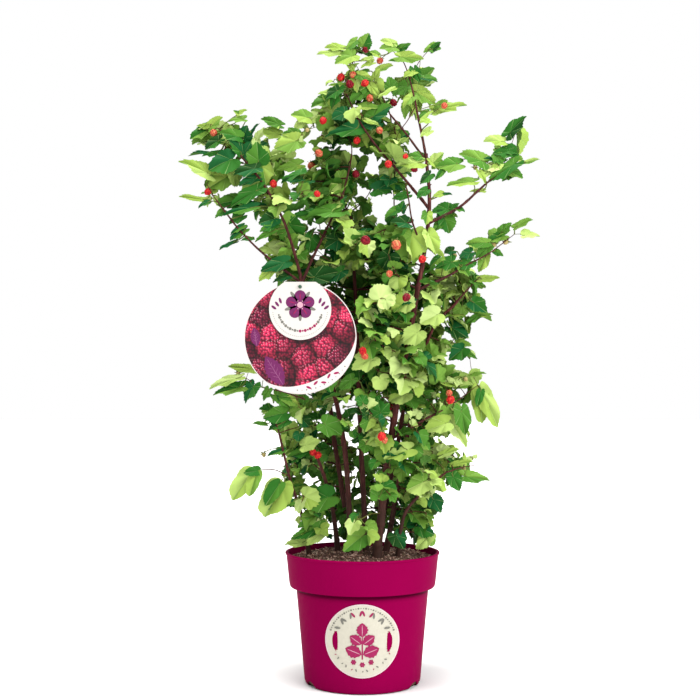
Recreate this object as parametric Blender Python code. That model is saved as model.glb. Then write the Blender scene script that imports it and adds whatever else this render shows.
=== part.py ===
"""Raspberry bush in a round nursery pot, with a round print on the pot and a
round fruit card hanging in the crown.  Metres, +Z up, front of the pot at -Y.
The origin is the centre of the pot's flat underside."""

import math
import random

import bmesh
import bpy
import numpy as np
from mathutils import Vector, geometry, noise

# ---------------------------------------------------------------- pot
POT_HEIGHT = 0.193
RIM_RADIUS = 0.115          # outer edge of the lip
LIP_DROP = 0.0026           # height of the lip's bead
COLLAR_TOP = 0.1134         # radius just under the lip
COLLAR_FOOT = 0.1090        # radius at the collar's lower edge
COLLAR_DEPTH = 0.050        # rim to the collar's lower edge
SHOULDER = 0.0985           # radius where the body meets the collar
BASE_RADIUS = 0.0862        # radius just above the bottom corner
WALL = 0.0022
FLOOR = 0.0030
POT_SIDES = 40
NOTCH_ANGLES = (62, 118, 242, 298)   # drain notches, degrees round from the front
NOTCH_WIDTH = 0.024
NOTCH_HEIGHT = 0.0075
NOTCH_DEPTH = 0.012

# ---------------------------------------------------------------- soil
SOIL_EDGE = 0.1835          # height of the soil at the wall
SOIL_MOUND = 0.1935         # height round the canes
GAP = 0.0004                # left between touching pieces

# ---------------------------------------------------------------- prints
LABEL_RADIUS = 0.0530
LABEL_HEIGHT = 0.0778       # centre above the underside
LABEL_THICK = 0.0005
TAG_RADIUS = 0.0790
TAG_THICK = 0.0008
TAG_DEPTH = -0.1210         # the card's back face
BADGE_RADIUS = 0.0437
TAG_HOLE = 0.0026
HOOK_RADIUS = 0.0009

# ---------------------------------------------------------------- crown
# Places in the crown are given as they are seen from in front of the pot: across
# and down in thousandths of the distance, and the depth behind the pot's axis.
EYE_DISTANCE = 1.507
EYE_HEIGHT = 0.391
AXIS_ACROSS = 362.4
LEVEL_DOWN = 420.0
CLEAR = 0.0015              # kept between a mass and what it lies against
LEAF_FLOOR = 0.1990         # no mass hangs lower

random.seed(23)


def seen(across, down, depth):
    """The point at this place in the view, this many millimetres behind the axis."""
    reach = EYE_DISTANCE + depth / 1000
    return Vector((
        (across - AXIS_ACROSS) / 1000 * reach,
        depth / 1000,
        EYE_HEIGHT + (LEVEL_DOWN - down) / 1000 * reach,
    ))


# name: (points down the middle, thickness in mm at the foot, at the tip)
CANES = {
    "cane_main": ([(377, 554, -52), (389, 450, -66), (408, 345, -78), (429, 222, -70), (427, 153, -52)], 12.6, 4.6),
    "cane_left": ([(351, 552, -22), (345, 450, -42), (328, 370, -55), (300, 276, -66)], 9.0, 5.2),
    "cane_left_short": ([(338, 550, 5), (331, 500, -15), (316, 454, -45)], 8.0, 4.4),
    "cane_far_left": ([(309, 551, -12), (303, 520, -30), (291, 482, -50), (279, 434, -62)], 6.2, 3.2),
    "cane_centre": ([(366, 550, -2), (361, 440, -10), (357, 330, 5), (352, 222, 12)], 9.0, 4.4),
    "cane_back_left": ([(352, 548, 30), (333, 430, 66), (322, 300, 84), (332, 226, 72)], 8.4, 4.2),
    "cane_back_right": ([(377, 547, 42), (400, 430, 76), (412, 330, 88), (402, 252, 66)], 8.4, 4.2),
    "cane_mid_right": ([(386, 550, -6), (405, 450, -4), (428, 341, -16), (458, 302, -28)], 8.6, 3.8),
    "cane_low_right": ([(398, 553, -42), (404, 515, -56), (424, 491, -64), (446, 473, -70)], 7.0, 3.8),
}
# name: (parent, points down the middle, thickness at the foot, at the tip)
BOUGHS = {
    "bough_right_arm": ("cane_main", [(430, 222, -71), (460, 206, -70), (478, 191, -64), (488, 182, -60)], 4.8, 3.0),
    "bough_upper_left": ("cane_main", [(429, 207, -68), (400, 172, -52), (374, 142, -34), (356, 116, -20)], 4.6, 2.6),
    "bough_top_right": ("cane_main", [(427, 158, -53), (421, 126, -42), (415, 98, -28)], 4.0, 2.8),
    "bough_top_left": ("cane_main", [(427, 160, -53), (406, 133, -38), (390, 114, -24)], 3.6, 2.4),
    "bough_right_high": ("cane_main", [(418, 290, -76), (448, 276, -64), (468, 265, -56)], 4.0, 2.8),
    "bough_right_low": ("cane_main", [(391, 440, -68), (418, 424, -66), (446, 409, -54)], 4.2, 2.6),
    "bough_left_arm": ("cane_left", [(301, 278, -66), (285, 224, -58), (260, 180, -46), (232, 146, -32)], 4.8, 2.6),
    "bough_neck": ("cane_left", [(302, 282, -66), (325, 232, -46), (341, 200, -32), (350, 168, -20)], 4.4, 2.6),
    "bough_left_bare": ("cane_left", [(303, 284, -66), (264, 254, -66), (240, 230, -60), (222, 208, -50)], 3.6, 2.4),
}

# name: (across, down, depth of the middle, half width, half height in view units, half depth in mm)
MASSES = {
    "leaves_top_left": (349, 52, -12, 32, 18, 42),
    "leaves_top_right": (408, 80, -2, 33, 41, 46),
    "leaves_crown_left": (344, 92, -2, 36, 20, 48),
    "leaves_crown_right": (446, 107, -18, 23, 11, 26),
    "leaves_shoulder_left": (334, 129, 10, 42, 19, 50),
    "leaves_shoulder_right": (388, 138, 6, 34, 19, 42),
    "leaves_arm_root": (289, 138, -8, 30, 27, 46),
    "leaves_arm_top": (224, 133, -20, 33, 25, 42),
    "leaves_arm_tip": (211, 180, -28, 34, 27, 38),
    "leaves_arm_mid": (258, 160, -2, 34, 28, 52),
    "leaves_arm_low": (266, 203, -20, 38, 18, 46),
    "leaves_neck_high": (322, 195, 14, 34, 32, 56),
    "leaves_centre_high": (395, 180, -18, 34, 13, 34),
    "leaves_right_tip": (510, 150, -46, 31, 28, 34),
    "leaves_right_arm": (464, 169, -56, 26, 12, 28),
    "leaves_centre_front": (380, 248, -58, 42, 24, 42),
    "leaves_neck": (297, 252, -22, 45, 31, 56),
    "leaves_right_high": (482, 236, -42, 52, 20, 38),
    "leaves_right_mid": (454, 306, 12, 42, 42, 58),
    "leaves_heart_front": (382, 320, -92, 34, 46, 38),
    "leaves_behind_tag": (300, 336, -4, 46, 54, 60),
    "leaves_heart_back": (368, 320, 60, 62, 64, 62),
    "leaves_back_high": (358, 192, 70, 62, 46, 48),
    "leaves_waist": (405, 371, 0, 70, 26, 60),
    "leaves_right_drop": (470, 393, -30, 28, 31, 42),
    "leaves_low_right": (438, 440, -8, 42, 40, 60),
    "leaves_low_left": (293, 413, -24, 37, 24, 54),
    "leaves_left_leaf": (234, 382, -56, 28, 18, 20),
    "leaves_low_centre": (362, 420, -88, 36, 34, 44),
    "leaves_left_low": (302, 452, -24, 34, 26, 52),
    "leaves_left_drop": (262, 492, -88, 35, 25, 16),
    "leaves_foot_left": (314, 510, -48, 32, 38, 52),
    "leaves_foot_front": (366, 502, -100, 34, 46, 38),
    "leaves_foot_right": (424, 511, -16, 28, 34, 56),
    "leaves_back_left": (322, 462, 98, 52, 78, 50),
    "leaves_back_right": (420, 450, 104, 52, 82, 48),
}

BARK = (0.150, 0.045, 0.036)
GREENS = ((0.16, 0.27, 0.045), (0.10, 0.20, 0.035), (0.22, 0.34, 0.075), (0.07, 0.14, 0.025))

for old in list(bpy.data.objects):
    bpy.data.objects.remove(old, do_unlink=True)


def material(name, rgb, roughness, metallic=0.0):
    made = bpy.data.materials.new(name)
    made.use_nodes = True
    shader = made.node_tree.nodes["Principled BSDF"]
    shader.inputs["Base Color"].default_value = (*rgb, 1)
    shader.inputs["Roughness"].default_value = roughness
    shader.inputs["Metallic"].default_value = metallic
    made.diffuse_color = (*rgb, 1)
    return made


def finish(bm, name, mat, parent, smooth=True, angle=35):
    bmesh.ops.recalc_face_normals(bm, faces=bm.faces)
    mesh = bpy.data.meshes.new(name)
    bm.to_mesh(mesh)
    bm.free()
    made = bpy.data.objects.new(name, mesh)
    bpy.context.collection.objects.link(made)
    mesh.materials.append(mat)
    if smooth:
        mesh.shade_smooth()
        mesh.set_sharp_from_angle(angle=math.radians(angle))
    made.parent = parent
    return made


def turned(profile, sides):
    """A closed solid turned from (radius, height) pairs, its first and last on the axis."""
    bm = bmesh.new()
    rings = []
    for radius, height in profile:
        if radius < 1e-6:
            rings.append([bm.verts.new((0, 0, height))])
            continue
        rings.append([
            bm.verts.new((
                radius * math.cos(2 * math.pi * k / sides),
                radius * math.sin(2 * math.pi * k / sides),
                height,
            ))
            for k in range(sides)
        ])
    for low, high in zip(rings, rings[1:]):
        for k in range(sides):
            n = (k + 1) % sides
            if len(low) == 1:
                bm.faces.new((low[0], high[k], high[n]))
            elif len(high) == 1:
                bm.faces.new((low[k], high[0], low[n]))
            else:
                bm.faces.new((low[k], high[k], high[n], low[n]))
    return bm


# ---------------------------------------------------------------- pot
collar_z = POT_HEIGHT - COLLAR_DEPTH


def body_radius(z):
    """Outer radius of the tapering body below the collar."""
    return BASE_RADIUS + (SHOULDER - BASE_RADIUS) * (z - 0.005) / (collar_z - 0.012)


def inner_radius(z):
    """Radius of the inside wall."""
    if z < collar_z - 0.010:
        return body_radius(z) - WALL
    top = COLLAR_TOP - WALL
    foot = COLLAR_FOOT - WALL
    if z < collar_z + 0.003:
        low = body_radius(collar_z - 0.010) - WALL
        return low + (foot - low) * (z - collar_z + 0.010) / 0.013
    return foot + (top - foot) * (z - collar_z - 0.003) / (COLLAR_DEPTH - 0.003)


root = bpy.data.objects.new("raspberry_in_pot", None)
bpy.context.collection.objects.link(root)

outer = [
    (0.0, 0.0),
    (BASE_RADIUS - 0.0060, 0.0),
    (BASE_RADIUS - 0.0018, 0.0012),
    (BASE_RADIUS, 0.0050),
    (body_radius(collar_z - 0.007), collar_z - 0.007),
    (SHOULDER + 0.0040, collar_z - 0.0045),
    (COLLAR_FOOT - 0.0020, collar_z - 0.0030),
    (COLLAR_FOOT, collar_z),
    (COLLAR_TOP, POT_HEIGHT - LIP_DROP - 0.0008),
    (RIM_RADIUS, POT_HEIGHT - LIP_DROP),
    (RIM_RADIUS, POT_HEIGHT - 0.0008),
    (RIM_RADIUS - 0.0009, POT_HEIGHT),
    (inner_radius(POT_HEIGHT) - 0.0004, POT_HEIGHT),
    (inner_radius(collar_z + 0.003), collar_z + 0.003),
    (inner_radius(collar_z - 0.010), collar_z - 0.010),
    (inner_radius(FLOOR), FLOOR),
    (0.0, FLOOR),
]
pot = finish(turned(outer, POT_SIDES), "pot", material("pot_magenta", (0.300, 0.0015, 0.072), 0.42), root)

# Drain notches: arches cut through the bottom corner from outside
for number, angle in enumerate(NOTCH_ANGLES):
    bm = bmesh.new()
    turn = math.radians(angle - 90)
    along = Vector((math.cos(turn), math.sin(turn), 0))
    side = Vector((-math.sin(turn), math.cos(turn), 0))
    ends = []
    for reach in (BASE_RADIUS - NOTCH_DEPTH, BASE_RADIUS + 0.02):
        ring = []
        arch = [(-0.5, -0.6), (0.5, -0.6), (0.5, 0.25), (0.36, 0.72), (0.14, 1.0), (-0.14, 1.0), (-0.36, 0.72), (-0.5, 0.25)]
        for across, up in arch:
            rise = NOTCH_HEIGHT * up
            if reach < BASE_RADIUS:
                rise = min(rise, FLOOR * 0.45 * up) if up > 0 else rise
            ring.append(bm.verts.new(along * reach + side * (NOTCH_WIDTH * across) + Vector((0, 0, rise))))
        ends.append(ring)
    bm.faces.new(ends[0])
    bm.faces.new(reversed(ends[1]))
    for k in range(8):
        n = (k + 1) % 8
        bm.faces.new((ends[0][k], ends[1][k], ends[1][n], ends[0][n]))
    bmesh.ops.triangulate(bm, faces=bm.faces)
    cutter = finish(bm, "notch_cutter_%d" % number, pot.data.materials[0], root, smooth=False)
    cutter.hide_render = True
    cutter.display_type = "WIRE"
    cut = pot.modifiers.new("notch_%d" % number, "BOOLEAN")
    cut.operation = "DIFFERENCE"
    cut.object = cutter
    cut.solver = "EXACT"

# ---------------------------------------------------------------- soil
def soil_height(x, y):
    """The mound falls off to the wall, with small lumps."""
    out = min(1.0, math.hypot(x, y) / 0.105)
    lump = noise.noise(Vector((x * 55, y * 55, 3.1))) * 0.0011 * (1 - out ** 4)
    return SOIL_EDGE + (SOIL_MOUND - SOIL_EDGE) * (1 - out ** 2.2) + lump


bm = bmesh.new()
soil_sides = POT_SIDES
rings = []
for radius, z in (
    (inner_radius(FLOOR) - GAP - 0.0004, FLOOR + GAP),
    (inner_radius(collar_z - 0.010) - GAP - 0.0004, collar_z - 0.010),
    (inner_radius(collar_z + 0.003) - GAP - 0.0004, collar_z + 0.003),
    (inner_radius(SOIL_EDGE) - GAP - 0.0004, None),
    (0.088, None),
    (0.060, None),
    (0.030, None),
):
    ring = []
    for k in range(soil_sides):
        a = 2 * math.pi * k / soil_sides
        x, y = radius * math.cos(a), radius * math.sin(a)
        ring.append(bm.verts.new((x, y, soil_height(x, y) if z is None else z)))
    rings.append(ring)
for low, high in zip(rings, rings[1:]):
    for k in range(soil_sides):
        n = (k + 1) % soil_sides
        bm.faces.new((low[k], high[k], high[n], low[n]))
bottom = bm.verts.new((0, 0, FLOOR + GAP))
middle = bm.verts.new((0, 0, soil_height(0, 0)))
for k in range(soil_sides):
    n = (k + 1) % soil_sides
    bm.faces.new((bottom, rings[0][n], rings[0][k]))
    bm.faces.new((middle, rings[-1][k], rings[-1][n]))
bmesh.ops.triangulate(bm, faces=bm.faces)
finish(bm, "soil", material("soil_brown", (0.075, 0.040, 0.026), 0.95), root, angle=60)

# ---------------------------------------------------------------- round print on the pot
bm = bmesh.new()
STRIPS = 16
columns = []
for k in range(STRIPS + 1):
    x = -LABEL_RADIUS * math.cos(math.pi * k / STRIPS)
    half = LABEL_RADIUS * math.sin(math.pi * k / STRIPS)
    if k in (0, STRIPS):
        half = 0.0014
    column = []
    for z in (LABEL_HEIGHT - half, LABEL_HEIGHT + half):
        for lift in (GAP, GAP + LABEL_THICK):
            radius = body_radius(z) + lift
            column.append(bm.verts.new((x, -math.sqrt(radius * radius - x * x), z)))
    columns.append(column)
for a, b in zip(columns, columns[1:]):
    for p, q in ((0, 1), (1, 3), (3, 2), (2, 0)):
        bm.faces.new((a[p], a[q], b[q], b[p]))
for column in (columns[0], columns[-1]):
    bm.faces.new((column[0], column[1], column[3], column[2]))
bmesh.ops.triangulate(bm, faces=bm.faces)
finish(bm, "pot_label", material("label_cream", (0.74, 0.69, 0.60), 0.45), root)


# ---------------------------------------------------------------- hanging card
def plate(outline, holes, y_back, thick):
    """A flat plate facing -Y, from outlines in X and Z."""
    loops = [[Vector((x, 0, z)) for x, z in loop] for loop in [outline, *holes]]
    flat = [p for loop in loops for p in loop]
    bm = bmesh.new()
    back = [bm.verts.new((p.x, y_back, p.z)) for p in flat]
    front = [bm.verts.new((p.x, y_back - thick, p.z)) for p in flat]
    turned_loops = [[Vector((p.x, p.z, 0)) for p in loop] for loop in loops]
    for a, b, c in geometry.tessellate_polygon(turned_loops):
        bm.faces.new((front[a], front[b], front[c]))
        bm.faces.new((back[c], back[b], back[a]))
    start = 0
    for loop in loops:
        for k in range(len(loop)):
            n = (k + 1) % len(loop)
            a, b = start + k, start + n
            bm.faces.new((front[a], front[b], back[b], back[a]))
        start += len(loop)
    bmesh.ops.triangulate(bm, faces=bm.faces)
    return bm


def circle(cx, cz, radius, sides, start=0.0):
    return [
        (cx + radius * math.cos(start + 2 * math.pi * k / sides), cz + radius * math.sin(start + 2 * math.pi * k / sides))
        for k in range(sides)
    ]


tag_middle = seen(299.7, 336.4, TAG_DEPTH * 1000)
badge_middle = seen(299.6, 307.0, TAG_DEPTH * 1000)
hole_at = seen(299.5, 284.6, TAG_DEPTH * 1000)
hole = circle(hole_at.x, hole_at.z, TAG_HOLE, 10)
finish(
    plate(circle(tag_middle.x, tag_middle.z, TAG_RADIUS, 48), [hole], TAG_DEPTH, TAG_THICK),
    "tag", material("tag_print", (0.42, 0.03, 0.05), 0.35), root,
)
flat_z = seen(0, 279.6, TAG_DEPTH * 1000).z
badge_outline = []
for k in range(40):
    a = math.radians(90) + 2 * math.pi * (k + 0.5) / 40
    x = badge_middle.x + BADGE_RADIUS * math.cos(a)
    z = badge_middle.z + BADGE_RADIUS * math.sin(a)
    if z > flat_z:
        x = badge_middle.x + math.copysign(math.sqrt(BADGE_RADIUS ** 2 - (flat_z - badge_middle.z) ** 2), x - badge_middle.x)
        z = flat_z
    if not badge_outline or math.dist(badge_outline[-1], (x, z)) > 1e-5:
        badge_outline.append((x, z))
if math.dist(badge_outline[0], badge_outline[-1]) < 1e-5:
    badge_outline.pop()
finish(
    plate(badge_outline, [hole], TAG_DEPTH - TAG_THICK - GAP, TAG_THICK),
    "tag_badge", material("badge_cream", (0.80, 0.76, 0.70), 0.4), root,
)


# ---------------------------------------------------------------- canes and boughs
def smooth_path(points, step):
    """Points every step along a smooth curve through these points."""
    ghost = [points[0] * 2 - points[1], *points, points[-1] * 2 - points[-2]]
    dense = []
    for a, b, c, d in zip(ghost, ghost[1:], ghost[2:], ghost[3:]):
        for k in range(24):
            t = k / 24
            dense.append(
                0.5 * (2 * b + (c - a) * t + (2 * a - 5 * b + 4 * c - d) * t * t + (3 * b - a - 3 * c + d) * t ** 3)
            )
    dense.append(points[-1])
    spans = [0.0]
    for a, b in zip(dense, dense[1:]):
        spans.append(spans[-1] + (b - a).length)
    count = max(3, round(spans[-1] / step))
    out, at = [], 0
    for k in range(count + 1):
        want = spans[-1] * k / count
        while at < len(dense) - 2 and spans[at + 1] < want:
            at += 1
        share = (want - spans[at]) / max(1e-9, spans[at + 1] - spans[at])
        out.append(dense[at].lerp(dense[at + 1], min(1.0, max(0.0, share))))
    return out


def tube(path, radii, sides, flat_foot=None):
    """A tapering limb with flat ends; its foot is level at flat_foot."""
    bm = bmesh.new()
    rings = []
    ahead = (path[1] - path[0]).normalized()
    across = ahead.cross(Vector((0, 1, 0.2))).normalized()
    for k, (point, radius) in enumerate(zip(path, radii)):
        before = path[max(0, k - 1)]
        after = path[min(len(path) - 1, k + 1)]
        ahead = (after - before).normalized()
        across = (across - ahead * across.dot(ahead)).normalized()
        other = ahead.cross(across)
        ring = []
        for s in range(sides):
            a = 2 * math.pi * s / sides
            place = point + across * (radius * math.cos(a)) + other * (radius * math.sin(a))
            if k == 0 and flat_foot is not None:
                place = place - ahead * ((place.z - flat_foot) / ahead.z)
            ring.append(bm.verts.new(place))
        rings.append(ring)
    for low, high in zip(rings, rings[1:]):
        for s in range(sides):
            n = (s + 1) % sides
            bm.faces.new((low[s], high[s], high[n], low[n]))
    bm.faces.new(rings[0])
    bm.faces.new(list(reversed(rings[-1])))
    bmesh.ops.triangulate(bm, faces=bm.faces)
    return bm


bark = {}
samples = []                 # every limb as spheres: (point, radius)
centre_lines = {}


def limb(name, points, thick, thin, parent=None):
    path = smooth_path([seen(*p) for p in points], 0.004)
    length = (len(path) - 1)
    radii = [(thick + (thin - thick) * (k / length) ** 0.85) / 2000 for k in range(len(path))]
    if parent is None:      # root flare just above the soil
        ground = SOIL_MOUND + 0.0008
        while path[0].z < ground and len(path) > 4:
            path.pop(0)
            radii.pop(0)
        path[0] = path[0] - (path[1] - path[0]) * ((path[0].z - ground) / (path[1].z - path[0].z))
        for k in range(len(path)):
            radii[k] *= 1 + 0.35 * math.exp(-(path[k].z - ground) / 0.012)
    else:                   # starts on the surface of the limb that carries it
        line = centre_lines[parent]
        while len(path) > 4 and min((p - path[0]).length - r for p, r in line) < radii[0] + GAP + 0.0002:
            path.pop(0)
            radii.pop(0)
    centre_lines[name] = list(zip(path, radii))
    samples.extend(zip(path[::2], radii[::2]))
    samples.append((path[-1], radii[-1]))
    keep = sorted({*range(0, len(path) - 1, 9), len(path) - 1, *((1, 3) if parent is None else ())})
    if keep[-1] - keep[-2] < 4:
        keep.pop(-2)
    bm = tube([path[k] for k in keep], [radii[k] for k in keep], 8 if thick > 5 else 7,
              SOIL_MOUND + 0.0008 if parent is None else None)
    finish(bm, name, material(name + "_bark", BARK, 0.6), root, angle=60)


for name, (points, thick, thin) in CANES.items():
    limb(name, points, thick, thin)
for name, (parent, points, thick, thin) in BOUGHS.items():
    limb(name, points, thick, thin, parent)

# Plastic hook: a head in front of the card, a stem through its hole, and a turn round the cane
carrier = min(centre_lines["cane_left"], key=lambda pr: abs(pr[0].z - hole_at.z - 0.004))
hang_on, hang_radius = carrier
turn_radius = hang_radius + HOOK_RADIUS + GAP + 0.0003
front_y = TAG_DEPTH - TAG_THICK * 2 - GAP - 0.0026
start = Vector((hole_at.x, front_y, hole_at.z))
route = [Vector((hole_at.x, TAG_DEPTH + 0.004, hole_at.z + 0.0002))]
enter = hang_on + Vector((turn_radius, -0.004, 0))
for k in range(1, 5):
    t = k / 5
    route.append(route[0].lerp(enter, t))
for k in range(9):
    a = math.radians(-10 + 30 * k)
    route.append(hang_on + Vector((turn_radius * math.cos(a), turn_radius * math.sin(a), -0.0006 * k + 0.001)))
route = [start - Vector((0, 0.0012, 0)), start + Vector((0, 0.0009, 0)), start + Vector((0, 0.0010, 0)), *route]
thick = [0.0036, 0.0036] + [HOOK_RADIUS] * (len(route) - 2)
finish(tube(route, thick, 6), "tag_hook", material("hook_white", (0.75, 0.75, 0.72), 0.4), root, angle=50)
for a, b in zip(route[2:], route[3:]):
    for k in range(5):
        samples.append((a.lerp(b, k / 4), HOOK_RADIUS))
for k in range(40):
    a = 2 * math.pi * k / 40
    for share in (0.25, 0.5, 0.75, 1.0):
        samples.append((Vector((
            tag_middle.x + TAG_RADIUS * share * math.cos(a), TAG_DEPTH - TAG_THICK / 2,
            tag_middle.z + TAG_RADIUS * share * math.sin(a),
        )), 0.003))

# ---------------------------------------------------------------- masses of leaves
spots = np.array([p for p, r in samples])
sizes = np.array([r for p, r in samples])


def sphere_points(count, seed):
    """Evenly spread directions, a little uneven."""
    rng = random.Random(seed)
    out = []
    for k in range(count):
        z = 1 - 2 * (k + 0.5) / count
        a = math.pi * (3 - math.sqrt(5)) * k + rng.uniform(-0.08, 0.08)
        r = math.sqrt(1 - z * z)
        out.append(Vector((r * math.cos(a), r * math.sin(a), z)).normalized())
    return out


bodies = {}
for name, (across, down, depth, wide, high, deep) in MASSES.items():
    reach = EYE_DISTANCE + depth / 1000
    bodies[name] = (seen(across, down, depth), Vector((wide / 1000 * reach, deep / 1000, high / 1000 * reach)))


def ellipsoid(radii, direction):
    return 1 / math.sqrt(sum((d / r) ** 2 for d, r in zip(direction, radii)))


for order, (name, (centre, radii)) in enumerate(bodies.items()):
    planes = [(Vector((0, 0, 1)), LEAF_FLOOR)]
    for other, (their_centre, their_radii) in bodies.items():
        if other == name:
            continue
        away = centre - their_centre
        distance = away.length
        if distance > max(radii) * 1.25 + max(their_radii) * 1.25:
            continue
        away.normalize()
        mine, theirs = ellipsoid(radii, away), ellipsoid(their_radii, away)
        border = their_centre + away * (distance * theirs / (mine + theirs))
        planes.append((away, border.dot(away) + CLEAR))
    middle = np.array(centre)
    offset = middle - spots
    length = np.linalg.norm(offset, axis=1)
    for k in np.nonzero(length < max(radii) * 1.3 + sizes + CLEAR)[0]:
        normal = Vector(offset[k] / length[k])
        planes.append((normal, Vector(spots[k]).dot(normal) + float(sizes[k]) + CLEAR))
    count = 70 if max(radii) > 0.045 else 56
    bm = bmesh.new()
    corners = [bm.verts.new(d) for d in sphere_points(count, order)]
    bmesh.ops.convex_hull(bm, input=corners)
    for vert in bm.verts:
        direction = vert.co.normalized()
        lump = noise.noise(direction * 1.9 + Vector((order * 3.7, 1.3, -2.2))) * 0.30
        lump += noise.noise(direction * 4.2 + Vector((order * 1.9, 7.3, 0.4))) * 0.18
        reach = ellipsoid(radii, direction) * (1.02 + lump)
        for normal, height in planes:
            facing = direction.dot(normal)
            if facing < -1e-6:
                reach = min(reach, (centre.dot(normal) - height) / -facing)
        vert.co = centre + direction * max(reach, 0.0015)
    finish(bm, name, material(name + "_green", GREENS[order % 4], 0.7), root, smooth=False)
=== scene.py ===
import math
import random

import bmesh
import bpy
import numpy as np
from mathutils import Matrix, Vector, geometry, noise


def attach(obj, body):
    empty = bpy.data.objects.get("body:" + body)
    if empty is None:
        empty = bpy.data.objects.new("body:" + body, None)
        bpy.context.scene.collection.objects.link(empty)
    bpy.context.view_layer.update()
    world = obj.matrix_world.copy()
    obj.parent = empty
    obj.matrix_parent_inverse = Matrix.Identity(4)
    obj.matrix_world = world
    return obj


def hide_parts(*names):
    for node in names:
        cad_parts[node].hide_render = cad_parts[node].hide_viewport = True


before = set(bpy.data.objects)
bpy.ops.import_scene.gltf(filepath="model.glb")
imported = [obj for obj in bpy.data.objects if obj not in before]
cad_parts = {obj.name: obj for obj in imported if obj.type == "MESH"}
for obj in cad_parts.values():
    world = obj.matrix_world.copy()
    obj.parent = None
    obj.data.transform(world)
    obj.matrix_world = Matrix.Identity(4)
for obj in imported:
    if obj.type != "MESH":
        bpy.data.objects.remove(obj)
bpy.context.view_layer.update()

rng = np.random.default_rng(7)
random.seed(11)
noise.seed_set(5)

# ================================================================ sizes, as in the solid model
POT_HEIGHT = 0.193
RIM_RADIUS = 0.115
LIP_DROP = 0.0026
COLLAR_TOP = 0.1134
COLLAR_FOOT = 0.1090
COLLAR_DEPTH = 0.0468
SHOULDER = 0.0985
BASE_RADIUS = 0.0862
WALL = 0.0022
SOIL_EDGE = 0.1835
SOIL_MOUND = 0.1935
LABEL_RADIUS = 0.0530
LABEL_HEIGHT = 0.0778
TAG_RADIUS = 0.0790
TAG_DEPTH = -0.1210
TAG_THICK = 0.0008
BADGE_RADIUS = 0.0437
TAG_HOLE = 0.0026
COLLAR_Z = POT_HEIGHT - COLLAR_DEPTH
NOTCHES = (62, 118, 242, 298)

EYE_DISTANCE = 1.507
EYE_HEIGHT = 0.391
AXIS_ACROSS = 362.4
LEVEL_DOWN = 420.0


def seen(across, down, depth):
    """The point at this place in the front view, this many millimetres behind the axis."""
    reach = EYE_DISTANCE + depth / 1000
    return np.array((
        (across - AXIS_ACROSS) / 1000 * reach,
        depth / 1000,
        EYE_HEIGHT + (LEVEL_DOWN - down) / 1000 * reach,
    ))


def in_view(points):
    """Where points of the crown fall in the front view."""
    points = np.atleast_2d(points)
    reach = EYE_DISTANCE + points[:, 1]
    return np.stack([
        AXIS_ACROSS + points[:, 0] / reach * 1000,
        LEVEL_DOWN - (points[:, 2] - EYE_HEIGHT) / reach * 1000,
    ], 1)


CANES = {
    "cane_main": ([(377, 554, -52), (389, 450, -66), (408, 345, -78), (429, 222, -70), (427, 153, -52)], 12.6, 4.6),
    "cane_left": ([(351, 552, -22), (345, 450, -42), (328, 370, -55), (300, 276, -66)], 9.0, 5.2),
    "cane_left_short": ([(338, 550, 5), (331, 500, -15), (316, 454, -45)], 8.0, 4.4),
    "cane_far_left": ([(309, 551, -12), (303, 520, -30), (291, 482, -50), (279, 434, -62)], 6.2, 3.2),
    "cane_centre": ([(366, 550, -2), (361, 440, -10), (357, 330, 5), (352, 222, 12)], 9.0, 4.4),
    "cane_back_left": ([(352, 548, 30), (333, 430, 66), (322, 300, 84), (332, 226, 72)], 8.4, 4.2),
    "cane_back_right": ([(377, 547, 42), (400, 430, 76), (412, 330, 88), (402, 252, 66)], 8.4, 4.2),
    "cane_mid_right": ([(386, 550, -6), (405, 450, -4), (428, 341, -16), (458, 302, -28)], 8.6, 3.8),
    "cane_low_right": ([(398, 553, -42), (404, 515, -56), (424, 491, -64), (446, 473, -70)], 6.2, 3.2),
}
BOUGHS = {
    "bough_right_arm": ("cane_main", [(430, 222, -71), (460, 206, -70), (478, 191, -64), (488, 182, -60)], 4.8, 3.0),
    "bough_upper_left": ("cane_main", [(429, 207, -68), (400, 172, -52), (374, 142, -34), (356, 116, -20)], 4.6, 2.6),
    "bough_top_right": ("cane_main", [(427, 158, -53), (421, 126, -42), (415, 98, -28)], 4.0, 2.8),
    "bough_top_left": ("cane_main", [(427, 160, -53), (406, 133, -38), (390, 114, -24)], 3.6, 2.4),
    "bough_right_high": ("cane_main", [(418, 290, -76), (448, 276, -64), (468, 265, -56)], 4.0, 2.8),
    "bough_right_low": ("cane_main", [(391, 440, -68), (418, 424, -66), (446, 409, -54)], 4.2, 2.6),
    "bough_left_arm": ("cane_left", [(301, 278, -66), (285, 224, -58), (260, 180, -46), (232, 146, -32)], 4.8, 2.6),
    "bough_neck": ("cane_left", [(302, 282, -66), (325, 232, -46), (341, 200, -32), (350, 168, -20)], 4.4, 2.6),
    "bough_left_bare": ("cane_left", [(303, 284, -66), (264, 254, -66), (240, 230, -60), (222, 208, -50)], 3.6, 2.4),
}
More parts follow.
